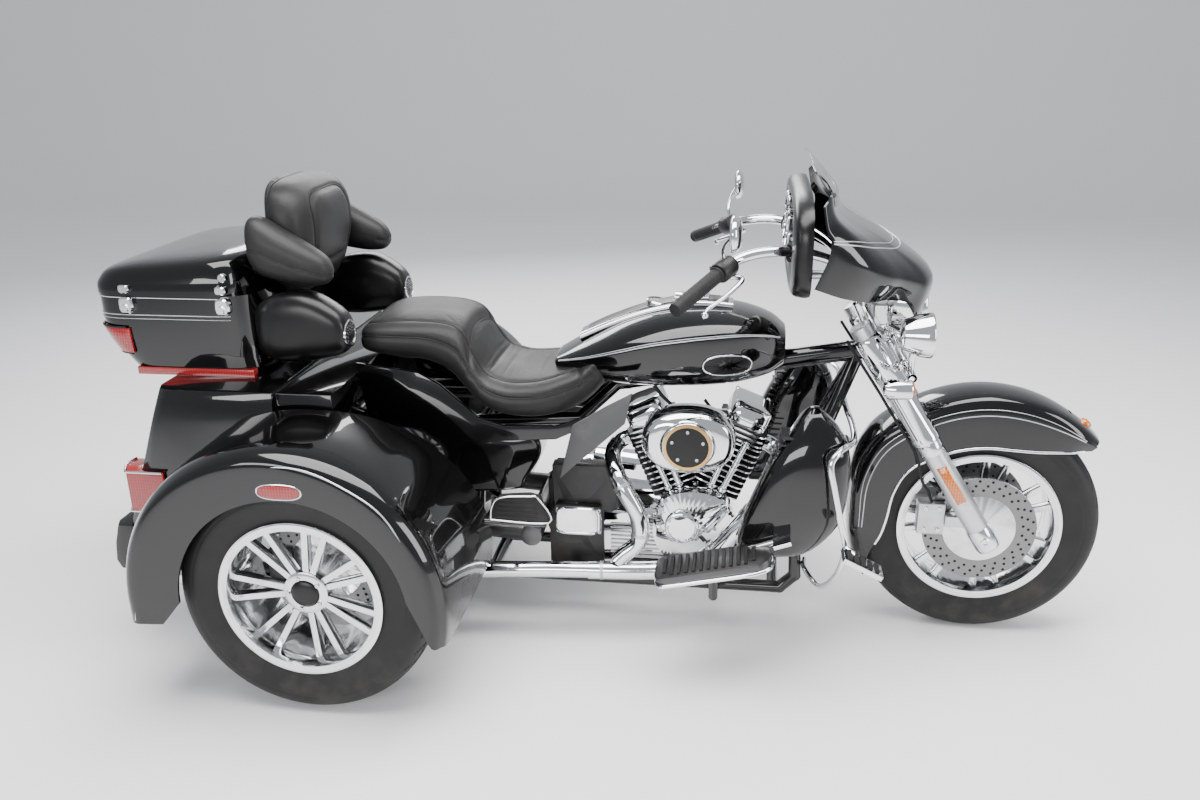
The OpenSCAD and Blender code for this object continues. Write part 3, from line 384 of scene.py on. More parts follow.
def grey(value, tint=0.0):
    return (value, value * (1 + tint * 0.5), value * (1 + tint), 1.0)


print("shader tools ready")

# %% [markdown]
# ## Paint
# Deep black under clear lacquer. The lacquer has a very slight orange peel, and a film of road
# dust gathers low on the bodywork, where it dulls the shine.

# %% Paint
def paint_recipe(p):
    height = p.axes()[2]
    dust = p.noise(5.0, 8.0) * (1 - height.step(0.12, 0.7))
    base = (dust * 0.2).colours(grey(0.0012), (0.06, 0.055, 0.05, 1))
    peel = p.noise(160.0, 2.0).bump(0.018)
    smear = p.noise(3.0, 6.0).step(0.5, 0.8)
    return {"Base Color": base, "Roughness": 0.16 + dust * 0.3 + smear * 0.05,
            "Coat Weight": 1 - dust * 0.25, "Normal": peel}


black_paint = finish("gloss_black_paint", "black_paint", paint_recipe, Coat_Roughness=0.015,
                     Specular_IOR_Level=0.1, Coat_IOR=1.5)


def stripe_recipe(p):
    return {"Base Color": p.noise(30.0).colours(grey(0.42, 0.03), grey(0.6, 0.03)),
            "Roughness": 0.25 + p.noise(60.0) * 0.15}


pinstripe = finish("silver_pinstripe", "black_paint", stripe_recipe, Metallic=0.6)

# %% [markdown]
# ## Bright metals
# Chrome is almost a mirror, so what shows is the smears and the faint haze of polishing.
# Machined alloy keeps fine lines in one direction, and cast alloy has a soft grain.

# %% Bright metals
def chrome_recipe(p):
    haze = p.noise(4.0, 8.0).step(0.45, 0.85)
    low = 1 - p.axes()[2].step(0.1, 0.5)
    dust = p.noise(18.0, 6.0).step(0.5, 0.8) * low
    base = (dust * 0.5 + haze * 0.15).colours(grey(0.83, 0.02), grey(0.55, -0.08))
    return {"Base Color": base, "Roughness": 0.035 + haze * 0.06 + dust * 0.2,
            "Normal": p.noise(90.0, 2.0).bump(0.012)}


def satin_recipe(p):
    lines = p.stretched(1, 1, 14).noise(60.0, 3.0)
    stain = p.noise(7.0, 7.0).step(0.45, 0.8)
    return {"Base Color": stain.colours(grey(0.62, 0.02), grey(0.36, -0.04)),
            "Roughness": 0.3 + lines * 0.14 + stain * 0.12, "Normal": lines.bump(0.05)}


def polished_recipe(p):
    lines = p.stretched(1, 8, 1).noise(120.0, 2.0)
    dirt = p.noise(10.0, 8.0).step(0.5, 0.8)
    return {"Base Color": dirt.colours(grey(0.78, 0.02), grey(0.5, -0.05)),
            "Roughness": 0.13 + lines * 0.08 + dirt * 0.14, "Normal": lines.bump(0.02)}


def cast_recipe(p):
    grain = p.noise(420.0, 2.0)
    stain = p.noise(9.0, 8.0).step(0.4, 0.75)
    return {"Base Color": stain.colours(grey(0.5, 0.01), grey(0.25, -0.06)),
            "Roughness": 0.38 + stain * 0.2, "Normal": grain.bump(0.12)}


chrome = finish("chrome_plate", "chrome", chrome_recipe, Metallic=1.0)
satin_alloy = finish("satin_alloy", "satin_alloy", satin_recipe, Metallic=1.0)
polished_alloy = finish("machined_alloy", "polished_alloy", polished_recipe, Metallic=1.0)
cast_alloy = finish("cast_alloy", "satin_alloy", cast_recipe, Metallic=1.0)


def brass_recipe(p):
    return {"Base Color": p.noise(20.0).colours((0.5, 0.3, 0.1, 1), (0.65, 0.42, 0.2, 1)),
            "Roughness": 0.18 + p.noise(40.0) * 0.15}


brass = finish("brass_ring", "chrome", brass_recipe, Metallic=1.0)

# %% [markdown]
# ## Dark finishes
# Engine black is a baked, finely wrinkled enamel. Moulded plastic has a leathery grain, and
# rubber is dull, with a grey bloom where hands and weather have been.

# %% Dark finishes
def enamel_recipe(p):
    wrinkle = p.cells(700.0)
    grime = p.noise(12.0, 8.0).step(0.45, 0.8)
    return {"Base Color": grime.colours(grey(0.008), (0.05, 0.042, 0.034, 1)),
            "Roughness": 0.36 + grime * 0.3, "Normal": wrinkle.bump(0.2, 0.0005)}


def steel_recipe(p):
    rust = p.noise(22.0, 9.0).step(0.6, 0.85)
    return {"Base Color": rust.colours(grey(0.1), (0.13, 0.08, 0.05, 1)),
            "Roughness": 0.34 + rust * 0.4, "Metallic": 0.95 - rust * 0.6,
            "Normal": p.noise(180.0).bump(0.08)}


def plastic(shade_of_grey, gloss):
    def recipe(p):
        wear = p.noise(9.0, 6.0).step(0.5, 0.8)
        light = grey(shade_of_grey * 1.6 + 0.01)
        return {"Base Color": wear.colours(grey(shade_of_grey), light),
                "Roughness": gloss + wear * 0.12, "Normal": p.cells(520.0).bump(0.14, 0.0004)}
    return recipe


def rubber_recipe(p):
    bloom = p.noise(14.0, 7.0).step(0.4, 0.8)
    return {"Base Color": bloom.colours(grey(0.011), grey(0.03)),
            "Roughness": 0.6 + bloom * 0.2, "Normal": p.noise(500.0, 2.0).bump(0.2, 0.0004)}


def tyre_recipe(p):
    height = p.axes()[2]
    dust = p.noise(16.0, 8.0).step(0.4, 0.75) * (1 - height.step(0.0, 0.3))
    worn = p.noise(7.0, 7.0).step(0.4, 0.8)
    base = (dust * 0.35 + worn * 0.12).colours(grey(0.007), (0.1, 0.092, 0.08, 1))
    return {"Base Color": base, "Roughness": 0.52 + dust * 0.25 + worn * 0.1,
            "Normal": p.noise(650.0, 2.0).bump(0.18, 0.0004)}


engine_black = finish("wrinkle_black", "engine_black", enamel_recipe)
dark_steel = finish("dark_steel", "dark_steel", steel_recipe)
black_plastic = finish("black_plastic", "black_plastic", plastic(0.007, 0.42), Specular_IOR_Level=0.35)
satin_black = finish("satin_black", "black_plastic", plastic(0.003, 0.3), Specular_IOR_Level=0.35)
grey_plastic = finish("grey_plastic", "grey_plastic", plastic(0.055, 0.5))
black_rubber = finish("black_rubber", "black_rubber", rubber_recipe, Specular_IOR_Level=0.3)
tyre_rubber = finish("tyre_rubber", "tyre_rubber", tyre_recipe, Specular_IOR_Level=0.3)

# %% [markdown]
# ## Leather
# Grain is a net of small cells broken by wider creases. The skin is smoother and a little
# shinier where people sit and slide.

# %% Leather
def leather_recipe(p):
    warp = p.noise(40.0, 3.0)
    grain = p.cells(330.0).step(0.0, 0.35)
    creases = p.stretched(1, 2.2, 1).noise(26.0, 7.0, 0.7)
    polish = p.noise(5.0, 5.0).step(0.4, 0.75)
    base = (polish * 0.6 + warp * 0.3).colours(grey(0.006, -0.05), grey(0.016, -0.08))
    height = grain * 0.5 + creases * 1.1
    return {"Base Color": base, "Roughness": 0.5 - polish * 0.14 + warp * 0.08,
            "Normal": height.bump(0.45, 0.0012)}


leather = finish("black_leather", "black_leather", leather_recipe, Coat_Weight=0.1,
                 Coat_Roughness=0.3, Specular_IOR_Level=0.32)


def thread_recipe(p):
    return {"Base Color": p.noise(300.0).colours(grey(0.012), grey(0.045)),
            "Roughness": 0.7 + p.noise(90.0) * 0.2, "Normal": p.noise(900.0).bump(0.4)}


thread = finish("seam_thread", "black_leather", thread_recipe)

# %% [markdown]
# ## Lenses and glass
# A lamp lens is coloured plastic with ribs moulded on the inside that spread the light. The
# ribs show as fine vertical lines behind a smooth, shiny face.

# %% Lenses and glass
def lens(colour, deep):
    def recipe(p):
        x, y, z = p.axes()
        ribs = (x * 900.0 + y * 900.0).math("SINE", x * 900.0 + y * 900.0) * 0.5 + 0.5
        rows = (z * 700.0).math("SINE", z * 700.0) * 0.5 + 0.5
        return {"Base Color": (ribs * 0.6 + rows * 0.3).colours(deep, colour),
                "Roughness": 0.08 + p.noise(30.0) * 0.06,
                "Normal": (ribs + rows).bump(0.35, 0.0006)}
    return recipe


red_lens = finish("red_lens", "red_lens", lens((0.55, 0.008, 0.008, 1), (0.16, 0.001, 0.001, 1)),
                  Coat_Weight=1.0, Coat_Roughness=0.02, Transmission_Weight=0.15)
pink_lens = finish("pale_lens", "red_lens", lens((0.75, 0.42, 0.4, 1), (0.4, 0.16, 0.15, 1)),
                   Coat_Weight=1.0, Coat_Roughness=0.02)
amber_lens = finish("amber_lens", "red_lens", lens((0.9, 0.24, 0.01, 1), (0.45, 0.08, 0.002, 1)),
                    Coat_Weight=1.0, Coat_Roughness=0.02, Transmission_Weight=0.15)


def glass_recipe(p):
    return {"Base Color": p.noise(3.0).colours((0.93, 0.96, 0.97, 1), (0.98, 0.99, 1.0, 1)),
            "Roughness": 0.005 + p.noise(12.0, 6.0).step(0.5, 0.9) * 0.03}


def fluted_recipe(p):
    y = p.axes()[1]
    flutes = (y * 520.0).math("SINE", y * 520.0) * 0.5 + 0.5
    return {"Base Color": flutes.colours((0.86, 0.88, 0.9, 1), (0.97, 0.98, 1.0, 1)),
            "Roughness": 0.02 + p.noise(20.0) * 0.03, "Normal": flutes.bump(0.25, 0.0008)}


glass = finish("clear_screen", "clear_screen", glass_recipe, Transmission_Weight=1.0, IOR=1.45)
lamp_glass = finish("lamp_glass", "clear_screen", fluted_recipe, Transmission_Weight=0.9, IOR=1.45)
smoked = finish("smoked_trim", "black_plastic", plastic(0.03, 0.22), Coat_Weight=0.6)
print("finishes:", len(bpy.data.materials))

# %% [markdown]
# ## Tyres
# A tyre is turned from one section. The tread is cut into it: four grooves round the tyre and
# slanting slots between them. The sidewall has moulded rings and is left without lettering.

# %% Tyres
def tread_depth(y, step, width):
    s = 2 * y / width
    if abs(s) > 0.84:
        return 0.0
    for groove in (-0.56, -0.2, 0.2, 0.56):
        if abs(s - groove) < 0.034:
            return 6.0
    slant = (step + int(abs(s) * 16)) % 8
    return 4.5 if slant == 0 and abs(abs(s) - 0.38) > 0.05 and abs(s) > 0.22 else 0.0


def tyre(name, axle, y0, d, w, rim_d, body):
    seat_d = rim_d - 26
    wall_r = mix(rim_d / 2, d / 2, 0.42)
    bead = w * 0.43 - 0.3
    section = [(seat_d / 2, -bead), (rim_d / 2 + 1.5, -bead)]
    for i in range(97):
        a = math.radians(-90 + 180 * i / 96)
        r = wall_r + (d / 2 - wall_r) * math.cos(a) ** 0.62 if abs(a) < 1.5707 else wall_r
        section.append((r, w / 2 * power(math.sin(a), 0.78)))
    section += [(rim_d / 2 + 1.5, bead), (seat_d / 2, bead)]
    turns = 288
    rings = []
    for k in range(turns):
        a = 2 * math.pi * k / turns
        ring = []
        for r, y in section:
            cut = tread_depth(y, k, w) if r > d / 2 - 34 else 0.0
            rib = 0.8 if rim_d / 2 + 10 < r < d / 2 - 40 and int(r / 5) % 3 == 0 else 0.0
            side = y - math.copysign(rib, y)
            ring.append((axle.x + (r - cut) * math.cos(a), y0 + side,
                         axle.z + (r - cut) * math.sin(a)))
        rings.append(ring)
    rings.append(rings[0])
    made = Part().loft(rings, closed=True, caps=False).done(name, body, tyre_rubber, 28)
    weld = made.modifiers.new("weld", "WELD")
    weld.merge_threshold = 0.00001
    return made


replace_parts(tyre("front_tyre_tread", front_axle, 0, 640, 130, 433, "front_wheel"), "front_tyre")
for side, word in ((-1, "right"), (1, "left")):
    made = tyre("rear_tyre_tread_" + word, rear_axle, side * RY, 647, 205, 415, "rear_wheel_" + word)
    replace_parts(made, "rear_tyre_" + word)
print("tyres cut")

# %% [markdown]
# ## Rear fenders
# Each fender is one moulding that sweeps over the wheel and out to a nearly flat outer face.
# The skin is thick, and its lip rolls inwards round the wheel opening.

# %% Rear fenders
CORE = Vector((RX, RY, RZ))


def fender_outer(u):
    lean = min(1.0, u / 0.82)
    inner = mix(222.0, 421.3, min(1.0, u * 2.4))
    a = math.radians(mix(-12, 180, lean))
    late = max(0.0, (u - 0.82) / 0.18)
    lip_a = math.radians(mix(8, 180, lean))
    r = 409.5
    x0 = RX - 30
    line = []
    for y, k in ((inner, 1.0), (mix(inner, FENDER_Y, 0.3), 1.0), (mix(inner, FENDER_Y, 0.6), 1.0),
                 (FENDER_Y - 46, 0.99), (FENDER_Y - 16, 0.965), (FENDER_Y, 0.92)):
        line.append((x0 + r * k * math.cos(a), y, RZ + r * k * math.sin(a) - late * 62))
    lip = (RX + 285.5 * math.cos(lip_a) - late * 52, RZ + 285.5 * math.sin(lip_a))
    edge = (x0 + r * 0.92 * math.cos(a), RZ + r * 0.92 * math.sin(a))
    line.append((mix(edge[0], lip[0], 0.4), FENDER_Y, mix(edge[1], lip[1], 0.4) - late * 62))
    line.append((lip[0], FENDER_Y - 4, lip[1] - late * 62))
    return line


def fender_inner(u):
    made = []
    for i, p in enumerate(fender_outer(u)):
        inwards = Vector((CORE.x - p[0], 0, CORE.z - p[2])).normalized()
        if i == 4:
            inwards = (inwards + Vector((0, -1, 0))).normalized() * 1.3
        if i > 4:
            inwards = Vector((0, -1, 0))
        made.append(tuple(Vector(p) + 7 * inwards))
    return made


steps = 72
outer = [smooth(fender_outer(i / steps), 4) for i in range(steps + 1)]
inner = [smooth(fender_inner(i / steps), 4) for i in range(steps + 1)]
for side, word in ((1, "left"), (-1, "right")):
    part = Part().sheet(
        [[(p[0], side * p[1], p[2]) for p in line] for line in outer],
        [[(p[0], side * p[1], p[2]) for p in line] for line in inner],
    )
    made = part.done("rear_fender_skin_" + word, "chassis", black_paint, 50)
    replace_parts(made, "rear_fender_" + word)

# The pinstripe follows the arch of the outer face, and a red marker lamp sits near its top
arch = [(-1085, 270), (-1062, 383), (-1008, 505), (-930, 597), (-834, 657), (-709, 692),
        (-614, 692), (-524, 655), (-436, 592), (-378, 490), (-348, 402), (-340, 357)]
for number, shift in enumerate((0.0, 9.0)):
    line = [(RX - 3 + (x - RX + 3) * (1 - shift / 380), z - shift * 0.95) for x, z in arch]
    path = [(x, FENDER_Y - 1.2, z) for x, z in smooth(line, 8)]
    part = Part().tube(path, 1.9 if number == 0 else 1.1, 8).both_sides()
    part.done(f"fender_pinstripe_{number}", "chassis", pinstripe)
marker = [(RX + 6 + 50 * power(math.cos(a), 0.7), 634 + 17 * power(math.sin(a), 0.8))
          for a in (2 * math.pi * k / 40 for k in range(40))]
part = Part()
part.loft([[(x, FENDER_Y - 14, z) for x, z in marker], [(x, FENDER_Y - 1, z) for x, z in marker],
           [(mix(RX + 6, x, 0.86), FENDER_Y - 0.2, mix(634, z, 0.86)) for x, z in marker]])
part.both_sides().done("fender_marker_lamps", "chassis", red_lens)
rim_line = [(mix(RX + 6, x, 1.06), FENDER_Y - 2, mix(634, z, 1.1)) for x, z in marker]
Part().tube(rim_line + rim_line[:1], 2.0, 8).both_sides().done("marker_bezels", "chassis", chrome)
print("fenders moulded")

# %% [markdown]
# ## Top box and lid
# Two deep mouldings meet at a seam with a bright line. The lid's crown falls to the rear. Two
# chrome latches and a lock close each long side.

# %% Top box and lid
BOX_FRONT = RX - 200
LID_FRONT = RX - 232
SEAM = 985.0


def box_plan(z, t, front_t=0.0):
    k = max(0.0, (917 - z) / 140) ** 1.5 if z < 917 else 0.0
    back = TAIL + 4 + 78 * k + t
    front = BOX_FRONT - t - front_t
    return oval((front + back) / 2, 0, (front - back) / 2, 305 - 12 * k - t, 7, 96)


def lid_ring(i, h, t):
    back = TAIL + 0.5 + i * 1.2 + t
    front = LID_FRONT - i * 0.6 - t
    plan = oval((front + back) / 2, 0, (front - back) / 2, 309 - i * 0.9 - t, 6.5, 96)
    return [(x, y, SEAM + 0.3 + h * (0.62 + 0.38 * (x - TAIL) / (BOX_FRONT - TAIL)))
            for x, y in plan]


heights = [775, 777, 782, 792, 806, 824, 845, 868, 892, 917, 940, 960, SEAM]
rings = [at_z(z, box_plan(z, 10 if z == 775 else 3 if z == 777 else 0)) for z in heights]
walls = [at_z(z, box_plan(z, 5, BOX_FRONT - LID_FRONT)) for z in reversed([800, 850, 917, SEAM])]
part = Part().loft(rings + walls)
for y in (-135, 135):
    part.block(((TAIL + 230 + BOX_FRONT - 60) / 2, y, 772), (270, 50, 9))
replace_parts(part.done("top_box_moulding", "chassis", black_paint, 42), "top_box")

crown = smooth([[0, 0], [0, 18], [4, 48], [22, 86], [60, 102], [120, 108]], 4)
roof = smooth([[120, 102], [60, 96], [22, 80], [4, 42], [0, 16], [0, 0]], 2)
part = Part().loft([lid_ring(max(0, i), h, 5) for i, h in roof]
                   + [lid_ring(max(0, i), h, 0) for i, h in crown])
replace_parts(part.done("lid_moulding", "box_lid", black_paint, 42), "box_lid")

# A bright line along the seam, then a pinstripe pair that drops with the box's tail
seam = [(x, y, SEAM - 7) for x, y in box_plan(SEAM, -0.6) if x < LID_FRONT - 30]
for sign in (1, -1):
    half = sorted((p for p in seam if p[1] * sign > 0), key=lambda p: -p[0])
    Part().tube(half, 1.6, 8).done(f"seam_line_{'left' if sign > 0 else 'right'}", "chassis", chrome)
for number, z in enumerate((932.0, 922.0)):
    plan = [(x, y, z) for x, y in box_plan(z, -0.4) if x < BOX_FRONT - 60]
    for sign in (1, -1):
        half = sorted((p for p in plan if p[1] * sign > 0), key=lambda p: -p[0])
        word = "left" if sign > 0 else "right"
        part = Part().tube(half, 1.3 - 0.4 * number, 8)
        part.done(f"box_pinstripe_{number}_{word}", "chassis", pinstripe)

part = Part()
for x in (-1216, -953):
    y = -309
    z = SEAM - 26
    part.loft([at_y(y + 7, oval(x, z, 20, 22, 3, 24)), at_y(y - 5, oval(x, z, 20, 22, 3, 24)),
               at_y(y - 9, oval(x, z, 16, 18, 3, 24))])
    part.loft([at_y(y - 8, oval(x, z - 6, 9, 11, 3, 16)), at_y(y - 13, oval(x, z - 6, 7, 9, 3, 16))])
part.both_sides().done("box_latches", "chassis", chrome)
part = Part()
for x in (-1216, -953):
    part.loft([at_y(y, oval(x, SEAM + 17, w, h, 3, 24))
               for y, w, h in ((-300, 15, 11), (-315, 15, 11), (-318, 12, 8))])
part.turned([(11, -8), (11, 4), (9, 6), (3, 6), (2, 3), (0.1, 3)], (-945, -309, 1034), (0, -1, 0), 24)
part.both_sides().done("lid_catches", "box_lid", chrome)

# The corner lamps get a dark bezel, and a paler band crosses the light bar under the box
part = Part()
part.tube([(x, y, 826) for x, y in box_plan(826, -5) if x < TAIL + 118 and y < -205], 3.0, 8)
part.tube([(x, y, 898) for x, y in box_plan(898, -5) if x < TAIL + 118 and y < -205], 3.0, 8)
part.both_sides().done("lamp_bezels", "chassis", black_plastic)
part = Part().block((TAIL + 158, -284, 776), (84, 24, 12.5)).both_sides()
part.done("pale_reflectors", "chassis", pink_lens, bevel=1.5)
print("box and lid done")

# %% [markdown]
# ## Speaker pods
# A rounded pod on each side of the backrest, with a round grille facing forwards.

# %% Speaker pods
rows = smooth([[-214, 888, 24, 60], [-176, 890, 44, 84], [-120, 896, 52, 92], [-60, 898, 54, 88],
               [-2, 888, 50, 66], [26, 882, 40, 44], [34, 880, 20, 20]], 4)
part = Part().loft([at_x(RX + x, oval(244, z, w, h, 3, 48)) for x, z, w, h in rows])
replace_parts(part.both_sides().done("speaker_pod_mouldings", "chassis", satin_black, 50), "speaker_pods")
at = (RX + 30, -246, 881)
part = Part().turned([(34, -16), (36, -4), (36, 3), (31, 4), (30, 0)], at, (1, 0, 0.06), 48)
part.both_sides().done("speaker_rings", "chassis", chrome)
part = Part().turned([(31, -4), (31, 1), (18, 5), (0.1, 6.5)], at, (1, 0, 0.06), 48)
part.both_sides().done("speaker_grilles", "chassis", black_plastic)
part = Part()
for k in range(40):
    a = k * 2.4
    r = 4.4 * math.sqrt(k)
    place = (at[0] + 5.6 - r * 0.08, at[1] + r * math.cos(a), at[2] + r * math.sin(a))
    part.turned([(1.7, -1), (1.7, 0.9), (1.0, 1.0)], place, (1, 0, 0), 8, True)
part.both_sides().done("speaker_grille_dots", "chassis", satin_alloy)
print("pods done")

# %% [markdown]
# ## Fuel tank and console
# The tank is a long teardrop with a crease along each side. A double pinstripe follows the
# crease, an oval badge without lettering sits below it, and a chromed console runs along the top.

# %% Fuel tank and console
tank_rows = [
    [536, 74, 742, 764, 776], [580, 104, 724, 776, 802], [640, 132, 710, 792, 836],
    [720, 158, 704, 816, 876], [800, 170, 701, 838, 902], [880, 172, 702, 852, 916],
    [960, 166, 706, 862, 918], [1040, 146, 716, 866, 908], [1110, 110, 736, 858, 886],
    [1150, 70, 760, 840, 858],
]


def tank_ring(row):
    x, w, low, crease, top = row
    ring = []
    for i in range(64):
        a = 2 * math.pi * i / 64
        if a <= math.pi:
            y = w * power(math.cos(a), 0.9)
            z = crease + (top - crease) * max(0.0, math.sin(a)) ** 1.1
        else:
            y = w * power(math.cos(a), 0.62)
            z = crease + (crease - low) * math.sin(a)
        ring.append((RX + x, y, z))
    return ring


tank = smooth(tank_rows, 6)
part = Part().loft([tank_ring(row) for row in tank])
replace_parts(part.done("tank_shell", "chassis", black_paint, 60), "fuel_tank")


def tank_side(row, angle, out):
    x, w, low, crease, top = row
    a = math.radians(angle)
    if angle >= 0:
        return (RX + x, -(w + out) * math.cos(a) ** 0.9, crease + (top - crease) * math.sin(a) ** 1.1)
    return (RX + x, -(w + out) * math.cos(a) ** 0.62, crease + (crease - low) * math.sin(a))


for number, angle in enumerate((6, 11)):
    path = [tank_side(row, angle, -0.4) for row in tank[2:-4]]
    path.append(tank_side(tank[-4], angle + 4, -0.4))
    part = Part().tube(path, 1.6 - 0.5 * number, 8).both_sides()
    part.done(f"tank_pinstripe_{number}", "chassis", pinstripe)
badge = [(323 + 62 * power(math.cos(a), 0.85), 790 + 30 * power(math.sin(a), 0.85))
         for a in (2 * math.pi * k / 56 for k in range(56))]


def on_tank(x, z, out):
    best = min(tank, key=lambda row: abs(RX + row[0] - x))
    row = [x - RX] + best[1:]
    low, crease = row[2], row[3]
    drop = max(-1.0, min(1.0, (z - crease) / (crease - low))) if z < crease else 0.0
    wide = (row[1]) * math.cos(math.asin(drop)) ** 0.62
    return (x, -(wide + out), z)


face = [on_tank(mix(323, x, 0.86), mix(790, z, 0.82), 2.2) for x, z in badge]
Part().loft([[on_tank(x, z, -4) for x, z in badge], [on_tank(x, z, 2.0) for x, z in badge], face]
            ).both_sides().done("tank_badge_plates", "chassis", satin_black, 60)
loop = [on_tank(x, z, 2.2) for x, z in badge]
Part().tube(loop + loop[:1], 2.4, 8).both_sides().done("tank_badge_rims", "chassis", chrome, 60)

console = smooth([[600, 40, 830], [680, 44, 868], [780, 46, 905], [880, 46, 927], [960, 42, 928],
                  [1010, 34, 922]], 6)
part = Part().loft([at_x(RX + x, oval(0, z - 6, w, 11, 4, 32)) for x, w, z in console])
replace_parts(part.done("console_rim", "chassis", chrome, 60), "tank_console")
part = Part().loft([at_x(RX + x, oval(0, z - 4.4, w - 7, 11, 5, 32)) for x, w, z in console[2:-2]])
part.done("console_inlay", "chassis", satin_black, 60)
cap = (RX + 900, 0, 940.4)
part = Part().turned([(27, -5), (27, 1), (24, 3.4), (12, 4.2), (0.1, 4.6)], cap, (0, 0, 1), 64)
part.done("filler_cap_dome", "fuel_door", chrome, 40)
gauge = (RX + 812, 0, 917)
part = Part().turned([(36, -12), (36, 3), (33, 6), (30, 5), (30, 2)], gauge, (0.2, 0, 1), 64)
part.done("tank_gauge_ring", "chassis", chrome, 40)
part = Part().turned([(30.5, 2), (30.5, 3.2), (0.1, 3.2)], gauge, (0.2, 0, 1), 48)
part.done("tank_gauge_face", "chassis", satin_black, 40)
print("tank done")

# %% [markdown]
# ## Leg shields and lower fairings
# Deep lowers stand in front of the rider's legs. A matte vent panel is let into each.

# %% Leg shields
rows = smooth([
    [300, 150, 196, 236, 252], [330, 120, 300, 228, 296], [420, 130, 372, 226, 330],
    [520, 166, 392, 222, 336], [600, 200, 392, 208, 330], [660, 240, 372, 210, 312],
    [705, 270, 330, 220, 280], [722, 290, 312, 236, 256],
], 5)
part = Part().loft([
    at_z(z, oval(CX + (a + b) / 2, (c + d) / 2, (b - a) / 2, (d - c) / 2, 2.8, 48))
    for z, a, b, c, d in rows
])
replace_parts(part.both_sides().done("leg_shield_mouldings", "chassis", black_paint, 60), "leg_shields")
part = Part()
for row in range(14):
    z = 420 + row * 18
    t = row / 13
    part.block((mix(430, 500, t), -262, z), (mix(66, 74, t), 78, 5))
part.both_sides().done("vent_slats", "chassis", black_plastic, bevel=1.0)
print("leg shields done")

# %% [markdown]
# ## Front fender
# A deep skirted fender with a chrome strip along its lower edge, a chrome tip and a lamp.

# %% Front fender
SIDE = 116 - 30 - 0.3
fender_rows = smooth([
    [208, 68, 20, 28], [198, 78, 44, 28], [186, SIDE, 84, 28], [172, SIDE, 104, 34],
    [156, SIDE, 118, 56], [140, SIDE, 128, 72], [124, SIDE, 136, 68], [108, SIDE, 140, 66],
    [92, SIDE, 142, 66], [76, SIDE, 138, 66], [62, 83, 118, 66], [50, 76, 78, 66], [42, 58, 34, 66],
], 5)


def fender_line(row, t):
    turn, w, d, rise = row
    a = math.radians(turn)
    v = w - t
    r = FZ + rise
    points = []
    for y, q in smooth([[-v, -d], [-v, -d * 0.5], [-w * 0.94, -22 - t], [-w * 0.7, -6 - t], [0, -t],
                        [w * 0.7, -6 - t], [w * 0.94, -22 - t], [v, -d * 0.5], [v, -d]], 3):
        y = math.copysign(min(abs(y), v), y)
        points.append((FX + (r + q) * math.cos(a), y, FZ + (r + q) * math.sin(a)))
    return points


part = Part().sheet([fender_line(row, 0) for row in fender_rows],
                    [fender_line(row, 5) for row in fender_rows])
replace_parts(part.done("front_fender_skin", "steering", black_paint, 55), "front_fender")
low = [fender_line(row, 0)[0] for row in fender_rows]
part = Part().tube([(p[0], p[1] - 0.3, p[2]) for p in low[8:-2]], 4.0, 12).both_sides()
part.done("fender_edge_trim", "steering", chrome, 50)
for number, place in enumerate((4, 5)):
    path = [Vector(fender_line(row, -0.2)[place]) for row in fender_rows[12:-4]]
    part = Part().tube(path, 1.5 - 0.5 * number, 8).both_sides()
    part.done(f"front_fender_pinstripe_{number}", "steering", pinstripe)
tip = fender_rows[-9:]
part = Part().loft([fender_line([a, w * 0.5, d * 0.3, rise + 1.5], 0)[4:-4] for a, w, d, rise in tip],
                   closed=False, caps=False)
part.done("fender_tip_plate", "steering", chrome, 60)
a = math.radians(49)
lamp_at = (FX + (FZ + 66) * math.cos(a), 0, FZ + (FZ + 66) * math.sin(a))
part = Part().turned([(17, -8), (17, 3), (14, 8), (6, 11), (0.1, 11.5)], lamp_at,
                     (math.cos(a), 0, math.sin(a)), 32)
part.done("fender_tip_lamp", "steering", amber_lens, 50)
print("front fender done")

# %% [markdown]
# ## Fairing, screen and dash
# The fairing wraps round the headlamp and sweeps back to two wing tips. The screen is a short
# clear sheet over a smoked band, and the dash behind is satin black with round gauges.

# %% Fairing and screen
fairing_rows = smooth([
    [0, -200, 906, -181, 1020, -436, 1230], [0.18, -206, 908, -186, 1020, -438, 1231],
    [0.36, -226, 924, -208, 1024, -442, 1234], [0.46, -256, 968, -234, 1030, -446, 1237],
    [0.6, -310, 986, -276, 1044, -452, 1242], [0.75, -356, 992, -318, 1058, -458, 1248],
    [0.9, -424, 1012, -378, 1080, -464, 1250], [1, -490, 1040, -462, 1110, -480, 1232],
], 5)
fairing_rows = [[-row[0]] + row[1:] for row in reversed(fairing_rows[1:])] + fairing_rows


def fairing_line(row, t):
    y = row[0] * 335
    low = (FX + row[1], row[2])
    mid = (FX + row[3], row[4])
    high = (FX + row[5], row[6])
    neck = (high[0] + mix(30, 10, abs(row[0])), high[1] - 52)
    between = ((mid[0] + neck[0]) / 2 + 8, (mid[1] + neck[1]) / 2 + 8)
    line = smooth([low, mid, between, neck, high], 6)
    line = line if t == 0 else beside(line, t)
    return [(x, y, z) for x, z in line]


